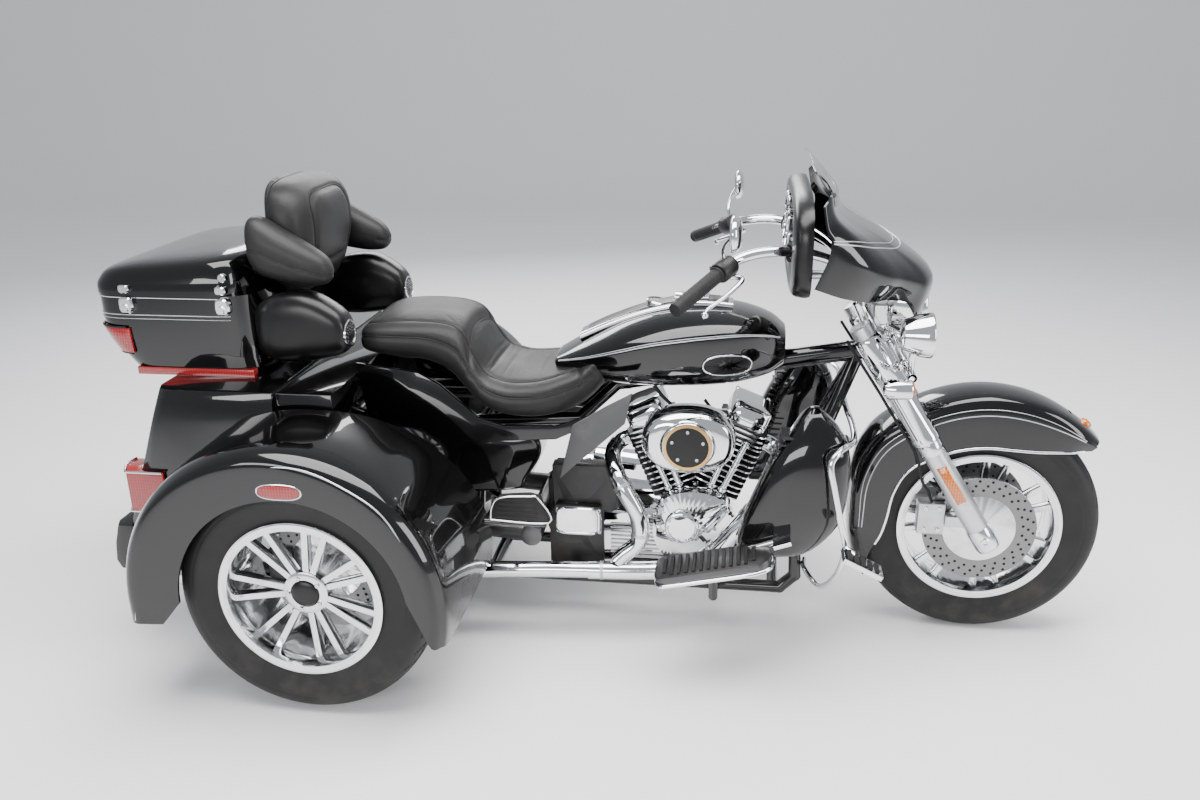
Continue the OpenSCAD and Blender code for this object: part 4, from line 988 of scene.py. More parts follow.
outer = [fairing_line(row, 0) for row in fairing_rows]
inner = [fairing_line(row, 5) for row in fairing_rows]
made = Part().sheet(outer, inner).done("fairing_skin", "steering", black_paint, 60)
hole_rings = [[(FX - 214 + x, 96.6 * math.cos(a), 935 + 96.6 * math.sin(a))
               for a in (2 * math.pi * k / 64 for k in range(64))] for x in (-90, 90)]
cutter = Part().loft(hole_rings).done("headlamp_hole", "steering", chrome)
cut = made.modifiers.new("headlamp_hole", "BOOLEAN")
cut.object = cutter
cut.operation = "DIFFERENCE"
cut.solver = "EXACT"
bpy.context.view_layer.update()
opened = bpy.data.meshes.new_from_object(made.evaluated_get(bpy.context.evaluated_depsgraph_get()))
made.modifiers.clear()
made.data = opened
shade(made, 60)
bpy.data.objects.remove(cutter)
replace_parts(made, "fairing")

for number, t in enumerate((0.46, 0.5)):
    path = []
    for line in outer:
        k = t * (len(line) - 1)
        i = int(k)
        here = Vector(line[i]).lerp(Vector(line[i + 1]), k - i)
        path.append(here + Vector((0.9, 0, 0.4)))
    Part().tube(path, 1.7 - 0.5 * number, 8).done(f"fairing_pinstripe_{number}", "steering", pinstripe, 60)
top = [Vector(line[-1]) for line in outer if abs(line[0][1]) <= 290]
Part().tube([p + Vector((1.0, 0, -1.0)) for p in top], 6.0, 12).done("screen_trim", "steering", smoked, 60)
part = Part().loft([[Vector(line[-5]) + Vector((1.4, 0, 0.8)), Vector(line[-3]) + Vector((1.4, 0, 0.8)),
                     Vector(line[-1]) + Vector((1.4, 0, 0.8))] for line in outer
                    if abs(line[0][1]) <= 262], closed=False, caps=False)
part.done("screen_base_band", "steering", smoked, 60)

screen_rows = [row for row in fairing_rows if abs(row[0]) <= 0.765]


def screen_line(row, t):
    m = 1 - 0.35 * (row[0] / 0.76) ** 2
    return [(FX + row[5] + x - 0.87 * t, row[0] * 335, row[6] + z - 0.5 * t)
            for x, z in smooth([[-0.2, 1.5], [-24 * m, 40 * m], [-62 * m, 76 * m]], 5)]


part = Part().sheet([screen_line(row, 0) for row in screen_rows],
                    [screen_line(row, 4) for row in screen_rows])
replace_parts(part.done("clear_screen_sheet", "steering", glass, 60), "windshield")
edge = [Vector(screen_line(row, 2)[-1]) for row in screen_rows]
Part().tube(edge, 2.2, 8).done("screen_edge", "steering", lamp_glass, 60)

# The inner fairing is a rounded bowl whose rim meets the fairing's wings all round
bowl = smooth([[-500, 1.0], [-512, 1.01], [-526, 1.0], [-538, 0.97], [-545, 0.9],
               [-546, 0.8], [-538, 0.74], [-530, 0.6]], 4)
part = Part().loft([at_x(FX + x, oval(0, 1112, 322 * k, 128 * k, 3.6, 96)) for x, k in bowl])
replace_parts(part.done("inner_fairing_bowl", "steering", satin_black, 60), "fairing_inner")
part = Part()
for s in (-1, 1):
    part.turned([(20, -6), (24, -2), (24, 3), (18, 6)], (FX - 546, s * 206, 1101), (-1, s * 0.5, 0.1), 32)
part.done("bar_boots", "steering", black_rubber, 40)
print("fairing done")

# %% [markdown]
# ## Cylinders
# Each cylinder is a stack of cooling fins under a finned head and a polished rocker box. The
# fin edges are machined bright, and two chromed tubes carry the pushrods up the right side.

# %% Cylinders
def tilted(angle):
    turn = Matrix.Rotation(math.radians(angle), 3, "Y")
    return lambda x, y, h: Vector((CX, 0, CZ)) + turn @ Vector((x, y, h))


def slab(place, h0, h1, sx, sy, e=7):
    plan = oval(0, 0, sx / 2, sy / 2, e)
    return [[place(x, y, h) for x, y in plan] for h in (h0, h1)]


FIN_TOP = 104 + 11 * 17.5
barrels = Part()
fins = Part()
edges = Part()
heads = Part()
covers = Part()
bolts = Part()
tubes = Part()
for angle in (-22.5, 22.5):
    place = tilted(angle)
    barrels.loft(slab(place, 118, FIN_TOP + 4, 112, 112, 2.2))
    for i in range(1, 11):
        h = 114 + i * 17.5
        fins.loft(slab(place, h, h + 5.6, 146, 146, 6))
        edges.loft(slab(place, h + 0.9, h + 4.7, 148, 148, 6), caps=False)
    for i in range(3):
        h = FIN_TOP + 4 + i * 15
        fins.loft(slab(place, h, h + 6.5, 136, 150, 6))
        edges.loft(slab(place, h + 1, h + 5.5, 138, 152, 6), caps=False)
    heads.loft(slab(place, FIN_TOP - 2, FIN_TOP + 52, 112, 132, 4))
    plan = [(FIN_TOP + 50, 0.98), (FIN_TOP + 56, 1.0), (FIN_TOP + 66, 1.0), (FIN_TOP + 68, 0.97),
            (FIN_TOP + 71, 0.97), (FIN_TOP + 73, 1.0), (FIN_TOP + 94, 0.97), (FIN_TOP + 104, 0.86),
            (FIN_TOP + 107.5, 0.66), (FIN_TOP + 108, 0.3)]
    covers.loft([[place(x, y, h) for x, y in oval(0, 0, 57 * k, 80 * k, 5, 48)] for h, k in plan])
    for x in (-46, 46):
        for y in (-66, 66):
            at = place(x, y, FIN_TOP + 98)
            bolts.bolt(at, place(0, 0, 1) - place(0, 0, 0), 6.0, 6.0)
    for x in (-20, 20):
        low = place(x * 0.8, -86, 148)
        high = place(x, -80, FIN_TOP + 16)
        tubes.tube([low, high], 9.0, 24)
        for t, r in ((0.03, 13.0), (0.45, 11.6), (0.55, 11.6), (0.9, 13.0)):
            tubes.tube([low.lerp(high, t), low.lerp(high, t + 0.05)], r, 24)
barrels.done("barrels", "chassis", engine_black, 40)
root = fins.done("cooling_fins", "chassis", engine_black, 40)
edges.done("fin_edges", "chassis", polished_alloy, 40)
heads.done("cylinder_heads", "chassis", cast_alloy, 40, bevel=2)
covers.done("rocker_boxes", "chassis", chrome, 38)
bolts.done("rocker_bolts", "chassis", chrome, 30)
tubes.done("pushrod_tubes", "chassis", chrome, 40)
intake = Part().tube([(CX - 80, 0, CZ + 322), (CX + 80, 0, CZ + 322)], 20, 32)
intake.done("intake_pipe", "chassis", cast_alloy, 40)
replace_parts(root, "cylinders")
part = Part().tube([(CX - 70, -60, CZ + 372), (CX - 96, -66, CZ + 400), (CX - 120, -60, CZ + 430)], 5, 12)
part.tube([(CX + 100, -70, CZ + 270), (CX + 70, -84, CZ + 330), (CX + 20, -60, CZ + 390)], 4.5, 12)
part.done("plug_leads", "chassis", black_rubber)
print("cylinders done")

# %% [markdown]
# ## Air cleaner and engine covers
# The oval air cleaner is the jewel of the right side: a domed chrome cover with a round boss
# in a brass ring. The covers below it are held by rows of small socket screws.

# %% Air cleaner and covers
ax, az = CX - 15, CZ + 323
profile = [(-142, 118, 84), (-146, 121, 87), (-172, 123, 88), (-206, 121, 86),
           (-218, 117, 82), (-226, 109, 75), (-230, 99, 69)]
rings = [at_y(y, oval(ax, az, w, h, 2.3, 96)) for y, w, h in profile]
rings += [at_y(-232.5, oval(ax, az, 84, 66.5, 2.1, 96)), at_y(-234, oval(ax, az, 72, 66, 2, 96))]
rings += [at_y(-240, oval(ax, az, 69, 66, 2, 96)), at_y(-243, oval(ax, az, 64, 64, 2, 96))]
part = Part().loft(rings)
part.tube([(ax, -20.3, CZ + 322), (ax, -146, CZ + 322)], 28, 32)
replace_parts(part.done("air_cleaner_cover", "chassis", chrome, 45), "air_cleaner")
part = Part().turned([(64, 0), (63, 3), (55, 4), (54, 1)], (ax, -242, az), (0, -1, 0), 96)
part.done("cleaner_brass_ring", "chassis", brass, 40)
part = Part().turned([(54.5, 0), (54.5, 1.6), (20, 3.4), (0.1, 3.8)], (ax, -242, az), (0, -1, 0), 64)
part.done("cleaner_boss", "chassis", satin_black, 50)
part = Part()
for k in range(5):
    a = 2 * math.pi * (k + 0.25) / 5
    part.bolt((ax + 42 * math.cos(a), -245.4, az + 42 * math.sin(a)), (0, -1, 0), 4.4, 2.4)
part.done("cleaner_screws", "chassis", satin_alloy, 30)
part = Part().turned([(47, 0), (47, 5), (43, 8), (38, 8.6), (36, 6), (12, 7.5), (0.1, 8)],
                     (CX - 32, -149.6, CZ + 46), (0, -1, 0), 64)
part.done("cam_cover_dome", "chassis", chrome, 35)
part = Part()
for k in range(10):
    a = 2 * math.pi * k / 10
    part.bolt((CX - 32 + 39 * math.cos(a), -157, CZ + 46 + 39 * math.sin(a)), (0, -1, 0), 4, 3)
for x, z in ((-92, 30), (-88, 90), (-60, 132), (-10, 140), (42, 132), (72, 110), (58, 40), (8, 6)):
    part.bolt((CX + x, -135.5, CZ + z), (0, -1, 0), 5.5, 4)
for x, z in ((-378, 14), (-378, 80), (-262, 14), (-262, 80), (-320, 84), (-320, 12)):
    part.bolt((CX + x, -139.5, CZ + z), (0, -1, 0), 5, 4)
for k in range(8):
    a = 2 * math.pi * k / 8
    part.bolt((CX + 52 * math.cos(a), 205, CZ + 14 + 52 * math.sin(a)), (0, 1, 0), 5, 4)
part.done("cover_screws", "chassis", satin_alloy, 30)
part = Part()
for k in range(9):
    part.block((CX - 150, -67, 178 + k * 13), (180, 6, 4))
part.done("crankcase_ribs", "chassis", cast_alloy, bevel=1)
part = Part().turned([(39, -46), (39, 46)], (CX + 186, 0, CZ - 18), (0, 1, 0), 48)
for k in range(9):
    part.turned([(39, k * 10 - 42), (40.6, k * 10 - 40), (40.6, k * 10 - 37), (39, k * 10 - 35)],
                (CX + 186, 0, CZ - 18), (0, 1, 0), 48)
part.done("oil_filter_shell", "chassis", chrome, 30)
print("covers done")

# %% [markdown]
# ## Exhaust
# The pipes are bent tube, so they are drawn as a fine sweep along a smooth curve, with heat
# shields clamped on where a boot could touch them.

# %% Exhaust
def pipe(x, z, y=-196):
    return [CX + x, y, CZ + z]


main_pipe = smooth([
    pipe(184.3, 268, -40), pipe(191.7, 264.9, -40), pipe(199.1, 261.9, -40),
    pipe(216.7, 252.2, -52), pipe(225.9, 243, -84), pipe(228, 232.4, -124),
    pipe(214.3, 210, -162), pipe(186, 166, -192),
    pipe(126, 90), pipe(66, 14), pipe(0, -34), pipe(-90, -58, -204), pipe(-262, -62, -216),
    pipe(-420, -66, -224), [RX + 280, -236, 196], [RX + 120, -270, 182], [RX - 59.7, -300, 178],
], 8)
rear_header = smooth([
    pipe(-184.3, 268, -40), pipe(-191.7, 264.9, -40), pipe(-199.1, 261.9, -40),
    pipe(-216.7, 252.2, -52), pipe(-225.9, 243, -84), pipe(-224, 230, -124),
    pipe(-210, 208, -162), pipe(-184, 170, -190),
    pipe(-146, 98), pipe(-144, 26, -200), pipe(-186, -16, -206), pipe(-206, -35, -210),
], 8)
cross_pipe = smooth([
    [RX + 220, -222.1, 187], [RX + 210, -100, 146], [RX + 210, 100, 146],
    [RX + 150, 250, 168], [RX - 59.7, 300, 178],
], 8)
part = Part().tube(main_pipe, 23, 32).tube(rear_header, 23, 32).tube(cross_pipe, 21, 32)
for s in (-1, 1):
    part.turned([(20, -2), (36, 2), (44, 18), (44, 430), (40, 448), (36, 460), (33, 460), (31, 440)],
                (RX - 60, s * 300, 178), (-1, 0, 0), 48)
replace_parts(part.done("exhaust_pipes", "chassis", chrome, 40), "exhaust")
part = Part().tube([Vector(p) + Vector((0, -2, 0.5)) for p in main_pipe[58:76]], 24.8, 32)
part.tube([Vector(p) + Vector((0, -2, 0)) for p in main_pipe[82:98]], 25.2, 32)
part.tube([Vector(p) + Vector((0, -2, 0)) for p in rear_header[52:72]], 24.8, 32)
part.done("heat_shields", "chassis", chrome, 40)
part = Part()
for path, places in ((main_pipe, (60, 73, 84, 95)), (rear_header, (54, 69))):
    for i in places:
        here = Vector(path[i])
        ahead = (Vector(path[i + 1]) - here).normalized()
        part.tube([here + Vector((0, -2, 0)), here + Vector((0, -2, 0)) + 9 * ahead], 26.4, 32)
part.done("shield_clamps", "chassis", satin_alloy, 30)
print("exhaust done")

# %% [markdown]
# ## Wheel dressing
# The rims keep their machined twin spokes. Here they get a polished lip, a ring of lug bolts, a plain
# centre cap and a disc face whose drilled holes are only painted, near black as painted shade.

# %% Wheel dressing
def disc_recipe(axle, holes, r0, r1):
    def recipe(p):
        x, y, z = p.axes()
        dx = x - axle.x / 1000
        dz = z - axle.z / 1000
        r = (dx * dx + dz * dz).math("SQRT", dx * dx + dz * dz)
        turn = dz.math("ARCTAN2", dz, dx) / (2 * math.pi)
        # The drilled holes are only painted: this mask marks them, and is also used to sink them by bump
        hole_with_painted_shade = None
        for row in range(3):
            at = (r0 + (r1 - r0) * (row + 0.5) / 3) / 1000
            swing = turn * holes + row * 0.33 + 100.0
            near = (swing.math("FRACT", swing) - 0.5) * (2 * math.pi * at / holes)
            gap = r - at
            far = (near * near + gap * gap).math("SQRT", near * near + gap * gap)
            spot = 1 - far.step(0.0036, 0.0042)
            hole_with_painted_shade = spot if hole_with_painted_shade is None else hole_with_painted_shade.math("MAXIMUM", hole_with_painted_shade, spot)
        lines = (r * 9000.0).math("SINE", r * 9000.0) * 0.5 + 0.5
        # Near black in the holes is painted shade, standing in for the dark seen into a real hole; the face
        # between them keeps its steel grey
        return {"Base Color": hole_with_painted_shade.colours(grey(0.2), grey(0.004)),
                "Roughness": 0.26 + lines * 0.1 + hole_with_painted_shade * 0.5, "Metallic": 1 - hole_with_painted_shade * 0.9,
                "Normal": (1 - hole_with_painted_shade + lines * 0.05).bump(0.5, 0.001)}
    return recipe


front_disc = finish("front_disc_face", "dark_steel", disc_recipe(front_axle, 26, 108, 148))
rear_disc = finish("rear_disc_face", "dark_steel", disc_recipe(rear_axle, 26, 104, 144))


def wheel_dress(word, axle, y, s, face, lip_r, barrel, half_w, body, hub):
    part = Part()
    part.turned([(barrel + 0.4, half_w * 0.45), (barrel - 0.6, half_w * 0.8), (barrel + 2, half_w - 9),
                 (barrel + 7, half_w - 2), (barrel + 12, half_w + 0.4), (lip_r - 3, half_w + 0.4),
                 (lip_r, half_w - 1.5)], (axle.x, y, axle.z), (0, s, 0), 128)
    part.done("rim_lip_" + word, body, chrome, 50)
    part = Part()
    part.turned([(hub * 0.5, face - 8), (hub * 0.5, face + 6), (hub * 0.44, face + 9),
                 (hub * 0.33, face + 9), (hub * 0.31, face + 6)], (axle.x, y, axle.z), (0, s, 0), 64)
    part.done("hub_ring_" + word, body, polished_alloy, 35)
    part = Part().turned([(hub * 0.31, face), (hub * 0.31, face + 10), (hub * 0.27, face + 14),
                          (hub * 0.12, face + 15.5), (0.1, face + 16)], (axle.x, y, axle.z), (0, s, 0), 48)
    part.done("centre_cap_" + word, body, satin_black, 40)
    part = Part()
    for k in range(5):
        a = 2 * math.pi * (k + 0.5) / 5
        at = (axle.x + hub * 0.385 * math.cos(a), y + s * (face + 9), axle.z + hub * 0.385 * math.sin(a))
        part.bolt(at, (0, s, 0), 5.6, 6)
    part.done("lug_bolts_" + word, body, chrome, 30)


for s, word in ((-1, "right"), (1, "left")):
    wheel_dress("rear_" + word, rear_axle, s * RY, s, 54.1, 207.5, 186.5, 96.15, "rear_wheel_" + word, 112)
    face_y = s * (RY - 96.15 + 12 + 4.4)
    part = Part().turned([(96, -8.9), (145.4, -8.9), (146.4, -8), (146.4, -0.8), (145.4, 0.1), (96, 0.1)],
                         (rear_axle.x, face_y, rear_axle.z), (0, s, 0), 128)
    part.done("rear_disc_" + word, "rear_wheel_" + word, rear_disc, 30)
    wheel_dress("front_" + word, front_axle, 0, s, 36, 216.5, 195.5, 63.9, "front_wheel", 100)
    part = Part().turned([(96, -2.8), (149.2, -2.8), (150, -2), (150, 2), (149.2, 2.8), (96, 2.8)],
                         (front_axle.x, s * 66, front_axle.z), (0, s, 0), 128)
    part.done("front_disc_" + word, "front_wheel", front_disc, 30)
    part = Part().turned([(54, 0), (96, 0), (96, 3), (54, 3)],
                         (front_axle.x, s * 65, front_axle.z), (0, s, 0), 96)
    part.done("front_disc_carrier_" + word, "front_wheel", black_plastic, 30)
print("wheels dressed")

# %% [markdown]
# ## Fork
# Chromed covers sleeve the upper legs and satin sliders carry the wheel. Each slider gets its
# seal collar, fender bosses and an amber reflector.

# %% Fork dressing
LEG = math.radians(32)


def leg(s, y):
    return Vector((FX - s * math.sin(LEG), y, FZ + s * math.cos(LEG)))


part = Part()
trim = Part()
glow = Part()
axis = (-math.sin(LEG), 0, math.cos(LEG))
part.turned([(30.5, 318), (36, 322), (37, 336), (34.5, 344), (34.5, 520), (36, 524), (36, 640),
             (33, 646), (30.5, 650)], leg(0, 116), axis, 48)
trim.turned([(30.3, 282), (32.6, 286), (32.6, 312), (30.3, 318)], leg(0, 116), axis, 48)
trim.turned([(30.3, -30), (33, -24), (33, 26), (30.3, 34)], leg(0, 116), axis, 48)
trim.bolt(leg(0, 148), (0, 1, 0), 13, 5)
part.both_sides().done("fork_covers", "steering", chrome, 35)
trim.both_sides().done("fork_collars", "steering", polished_alloy, 35)
strip = [
    [leg(s, 116) + Vector((0, 26 + d, 0)) + w * Vector((math.cos(LEG), 0, math.sin(LEG)))
     for w in (-13, -6, 6, 13)]
    for s, d in ((128, 2), (132, 6.5), (244, 6.5), (248, 2))
]
glow.loft(strip, closed=False, caps=False)
back = glow.both_sides().done("fork_reflectors", "steering", amber_lens, 50)
solid = back.modifiers.new("thick", "SOLIDIFY")
solid.thickness = 0.004
part = Part()
for h in (0, 1, 2):
    part.block((FX - 133, -48, FZ + 14 + h * 24), (58, 8, 14))
part.both_sides().done("front_calliper_ribs", "steering", satin_alloy, bevel=2)
part = Part()
for dx, dz in ((-150, 4), (-150, 66), (-114, 4), (-114, 66)):
    part.bolt((FX + dx, -95, FZ + dz), (0, -1, 0), 6, 4)
part.both_sides().done("front_calliper_bolts", "steering", chrome, 30)
print("fork done")

# %% [markdown]
# ## Lamps
# A lamp is a chromed bucket, a bright reflector bowl, a bulb shield and a fluted lens. The
# headlamp and the passing lamps share one recipe at two sizes.

# %% Lamps
def lamp(word, at, r, deep, body):
    at = Vector(at)
    part = Part().turned([(0.1, -deep), (r * 0.4, 2 - deep), (r * 0.72, 8 - deep), (r * 0.92, -deep * 0.35),
                          (r * 0.985, -4), (r, 4), (r, r * 0.16), (r * 0.96, r * 0.2), (r * 0.9, r * 0.18),
                          (r * 0.88, r * 0.1)], at, (1, 0, 0), 96)
    shell = part.done("lamp_shell_" + word, body, chrome, 45)
    bowl = [(r * 0.9 * k, -r * 0.42 * (1 - k * k) + r * 0.06)
            for k in (1, 0.85, 0.7, 0.55, 0.4, 0.25, 0.02)]
    Part().turned(bowl, at, (1, 0, 0), 64).done("lamp_bowl_" + word, body, polished_alloy, 60)
    part = Part().turned([(r * 0.16, -r * 0.1), (r * 0.16, -r * 0.02), (r * 0.1, r * 0.02),
                          (0.1, r * 0.03)], at, (1, 0, 0), 32)
    part.done("bulb_shield_" + word, body, chrome, 50)
    dome = [(r * 0.91 * k, r * 0.14 + r * 0.17 * (1 - k * k)) for k in (1, 0.9, 0.75, 0.6, 0.4, 0.2, 0.01)]
    back = [(k, d - 2.5) for k, d in reversed(dome)]
    Part().turned(dome + back, at, (1, 0, 0), 64).done("lamp_lens_" + word, body, lamp_glass, 60)
    return shell


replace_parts(lamp("head", (FX - 214, 0, 935), 96, 70, "steering"), "headlamp")
Part().turned([(99, -2), (101, 6), (99, 12), (96, 12), (96, 2)], (FX - 216, 0, 935), (1, 0, 0), 96).done(
    "headlamp_bezel", "steering", chrome, 35)
for s, word in ((-1, "right"), (1, "left")):
    shell = lamp("passing_" + word, (FX - 208, s * 200, 900), 56, 66, "steering")
    part = Part().turned([(4, -34), (18, -32), (25, -20), (25, 30), (23, 34), (19, 34)],
                         (FX - 276, s * 250, 776), (1, 0, 0), 48)
    part.done("turn_signal_shell_" + word, "steering", chrome, 40)
    part = Part().turned([(23, 32), (22, 36), (14, 40), (0.1, 42)], (FX - 276, s * 250, 776), (1, 0, 0), 40)
    part.done("turn_signal_lens_" + word, "steering", amber_lens, 50)
part = Part().tube([(FX - 240, y, 800) for y in (-236, -120, 0, 120, 236)], 11, 32)
part.tube([(FX - 240, -116, 800), (FX - 262, -116, 786)], 10, 24)
part.tube([(FX - 240, -190, 800), (FX - 240, -197, 836), (FX - 238, -198, 868)], 9, 24)
part.tube([(FX - 240, -232, 800), (FX - 250, -244, 792), (FX - 260, -248, 782)], 8, 24)
part.turned([(12, -2), (15, 0), (15, 14), (12, 16)], (FX - 240, -116 - 7, 800), (0, 1, 0), 32)
bar = part.both_sides().done("lamp_bar", "steering", chrome, 35)
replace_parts(bar, "front_lamps")
print("lamps done")

# %% [markdown]
# ## Handlebar, grips and mirrors
# The bar rises through the dash and sweeps back to ribbed rubber grips. Levers end in a ball
# so that they can't pierce a hand, and the mirrors are chromed shells with a flat glass.

# %% Handlebar and mirrors
RAKE = math.radians(26)
up = Vector((-math.sin(RAKE), 0, math.cos(RAKE)))
foot = Vector((FX + 99 - 850 * math.tan(RAKE), 0, 850)) + 20.3 * up + Vector((0, 54, 0))
cross = foot + 66 * up
half = smooth([list(cross), [FX - 372, 84, 990], [FX - 440, 140, 1066], [FX - 560, 214, 1104],
               [FX - 682, 264, 1088], [FX - 803, 431, 1015]], 10)
part = Part().tube(half, 12.7, 32)
part.tube([foot, foot + 84 * up], 18, 32)
part.tube([(cross.x, 0, cross.z), tuple(cross)], 12.7, 24)
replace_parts(part.both_sides().done("handlebar_tube", "steering", chrome, 40), "handlebar")

inner_end = Vector((FX - 716, 311, 1068))
outer_end = Vector((FX - 808, 438, 1012))
run = outer_end - inner_end
profile = [(15, 0), (20, 1), (20, 6), (17.4, 8)]
for k in range(15):
    d = 12 + k * 9
    profile += [(17.4, d), (18, d + 1), (18, d + 6), (17.4, d + 7)]
far = run.length
profile += [(17.4, far - 8), (18, far - 6), (17, far), (8, far + 2), (0.1, far + 2)]
Part().turned(profile, inner_end, run, 40).both_sides().done("grips", "steering", black_rubber, 40)
along = run.normalized()
part = Part()
part.turned([(13, -52), (24, -50), (26, -44), (26, -6), (24, -1), (18, 0)], inner_end, run, 40)
part.both_sides().done("switch_pods", "steering", black_plastic, 35)
part = Part()
for k, lift in ((-40, 0.2), (-26, 0.6), (-13, 0.9)):
    at = inner_end + k * along + Vector((-24, 0, 4 + 12 * lift * 0.3))
    part.block(at, (9, 8, 10))
part.both_sides().done("switch_buttons", "steering", grey_plastic, bevel=1.5)
start = inner_end + Vector((26, -20, -8))
bends = ((0, (0, 0, 0)), (0, (30, 20, -4)), (90, (48, 0, 2)), (150, (40, 0, 0)), (176, (46, 0, -2)))
lever = smooth([list(start + d * along + Vector(shift)) for d, shift in bends], 8)
last = len(lever) - 1
taper = [8 - 3.6 * math.sin(math.pi * 0.5 * i / last) for i in range(last + 1)]
part = Part().tube(lever, taper, 16)
end = Vector(lever[-1])
part.turned([(0.1, -9), (5, -7.4), (8, -3), (8.6, 0), (8, 3), (5, 7.4), (0.1, 9)], end, along, 24)
part.both_sides().done("levers", "steering", polished_alloy, 40)
part = Part().turned([(14, -14), (16, -12), (16, 10), (14, 12), (3, 13), (0.1, 13)],
                     inner_end + Vector((20, -26, 18)), (0, 0, 1), 32)
part.both_sides().done("brake_reservoirs", "steering", chrome, 35)

mx = FX - 684
stalk = smooth([[mx - 20.3, 294.7, 1103.1], [mx - 23, 305, 1124], [mx - 16, 340, 1148],
                [mx - 6, 372, 1164], [mx + 4, 384, 1176]], 6)
part = Part().tube(stalk, 4.5, 16)
shell = smooth([[-6, 0.72], [-3, 0.96], [2, 1.0], [10, 0.94], [17, 0.74], [20, 0.5], [21, 0.1]], 3)
part.loft([at_x(mx + x, oval(384, 1178, 62 * k, 40 * k, 2.6, 64)) for x, k in shell])
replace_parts(part.both_sides().done("mirror_shells", "steering", chrome, 55), "mirrors")
part = Part().loft([at_x(mx - 6.3, oval(384, 1178, 46, 29, 2.6, 64)),
                    at_x(mx - 6.8, oval(384, 1178, 45, 28, 2.6, 64))])
part.both_sides().done("mirror_glass", "steering", polished_alloy, 40)
print("bars and mirrors done")

# %% [markdown]
# ## Dash gauges
# Two large dials and two small ones face the rider. Their faces are plain, with tick marks
# and a needle and no lettering.

# %% Dash gauges
dials = Part()
faces = Part()
ticks = Part()
for y, z, r in ((-62, 1118, 46), (62, 1118, 46), (-150, 1110, 27), (150, 1110, 27),
                (-44, 1190, 22), (44, 1190, 22)):
    at = (FX - 548, y, z)
    dials.turned([(r, -14), (r, 4), (r - 3, 7), (r - 7, 5), (r - 8, 1)], at, (-1, 0, 0.12), 48)
    faces.turned([(r - 7, 1), (r - 7, 2), (0.1, 2.2)], at, (-1, 0, 0.12), 48)
    for k in range(11):
        a = math.radians(-40 + 26 * k)
        place = (at[0] - 2.6, y + (r - 13) * math.cos(a), z + (r - 13) * math.sin(a))
        ticks.block(place, (0.8, 2.2, 2.2))
    ticks.block((at[0] - 3.2, y - 6, z + 3), (0.8, (r - 18) * 1.2, 1.6))
dials.done("gauge_bezels", "steering", chrome, 40)
faces.done("gauge_faces", "steering", satin_black, 40)
ticks.done("gauge_ticks", "steering", pinstripe)
print("dash done")

# %% [markdown]
# ## Guards, boards and trim
# The engine guard is one bent bar. The rider's boards carry rubber ribs and a chrome edge, and
# the folded passenger boards show their ribbed soles in a thin bright frame.

# %% Guards and boards
half = smooth([
    [CX + 395.5, 0, 655], [CX + 395.5, 70, 655], [CX + 400, 200, 655], [CX + 392, 300, 654],
    [CX + 356, 360, 650], [CX + 336, 380, 622], [CX + 348, 384, 560], [CX + 366, 384, 480],
    [CX + 384, 376, 400], [CX + 372, 330, 300], [CX + 340, 250, 220], [CX + 306.9, 150, 214],
    [CX + 306.9, 96, 214],
], 8)
part = Part().tube(half, 8.0, 24)
part.tube([(CX + 382, 378, 404), (CX + 412, 406, 390)], 9, 20)
turn = Matrix.Rotation(math.radians(26), 3, "Y")
part.block((CX + 421, 420, 384), (104, 62, 13), turn)
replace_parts(part.both_sides().done("engine_guard_bar", "chassis", chrome, 40, bevel=1.2), "engine_guard")
part = Part()
for k in range(5):
    part.block(Vector((CX + 421, 420, 384)) + turn @ Vector((-36 + 18 * k, 0, 8)), (9, 48, 5), turn)
part.both_sides().done("highway_board_pads", "chassis", black_rubber, bevel=1.2)

turn = Matrix.Rotation(math.radians(-12.7), 3, "Y")
start = Vector((CX - 80, 0, 284))
part = Part()
for k in range(13):
    at = start + turn @ Vector((26 + 19 * k, 365, 28))
    part.block(at, (9, 94 if 0 < k < 12 else 70, 6), turn)
part.both_sides().done("board_ribs", "chassis", black_rubber, bevel=1.5)
corners = ((2, 330), (2, 400), (14, 424), (40, 428), (150, 430),
           (250, 428), (288, 410), (297, 380), (297, 340))
rail = [start + turn @ Vector((u, v, 4)) for u, v in corners]
part = Part().tube(smooth([list(p) for p in rail], 5), 5.5, 16)
part.both_sides().done("board_edge_trim", "chassis", chrome, 40)

outline = [(0, 0), (162, 0), (134, 70), (108, 76), (30, 68), (6, 40)]
for s, word in ((-1, "right"), (1, "left")):
    y = s * (346 + 22.3)
    centre = (75, 36)
    loop = [(RX + 406 + mix(centre[0], x, 0.95), y, 424 + mix(centre[1], z, 0.93)) for x, z in outline]
    fine = smooth([list(p) for p in loop + loop[:1]], 6)
    Part().tube(fine, 2.6, 10).done("passenger_board_edge_" + word, "pillion_board_" + word, chrome, 40)
    part = Part()
    for k in range(5):
        part.block((RX + 406 + 75, y - s * 0.2, 424 + 12 + 12 * k), (112 - 7 * abs(k - 1), 4, 5))
    part.done("passenger_board_ribs_" + word, "pillion_board_" + word, black_rubber, bevel=1)

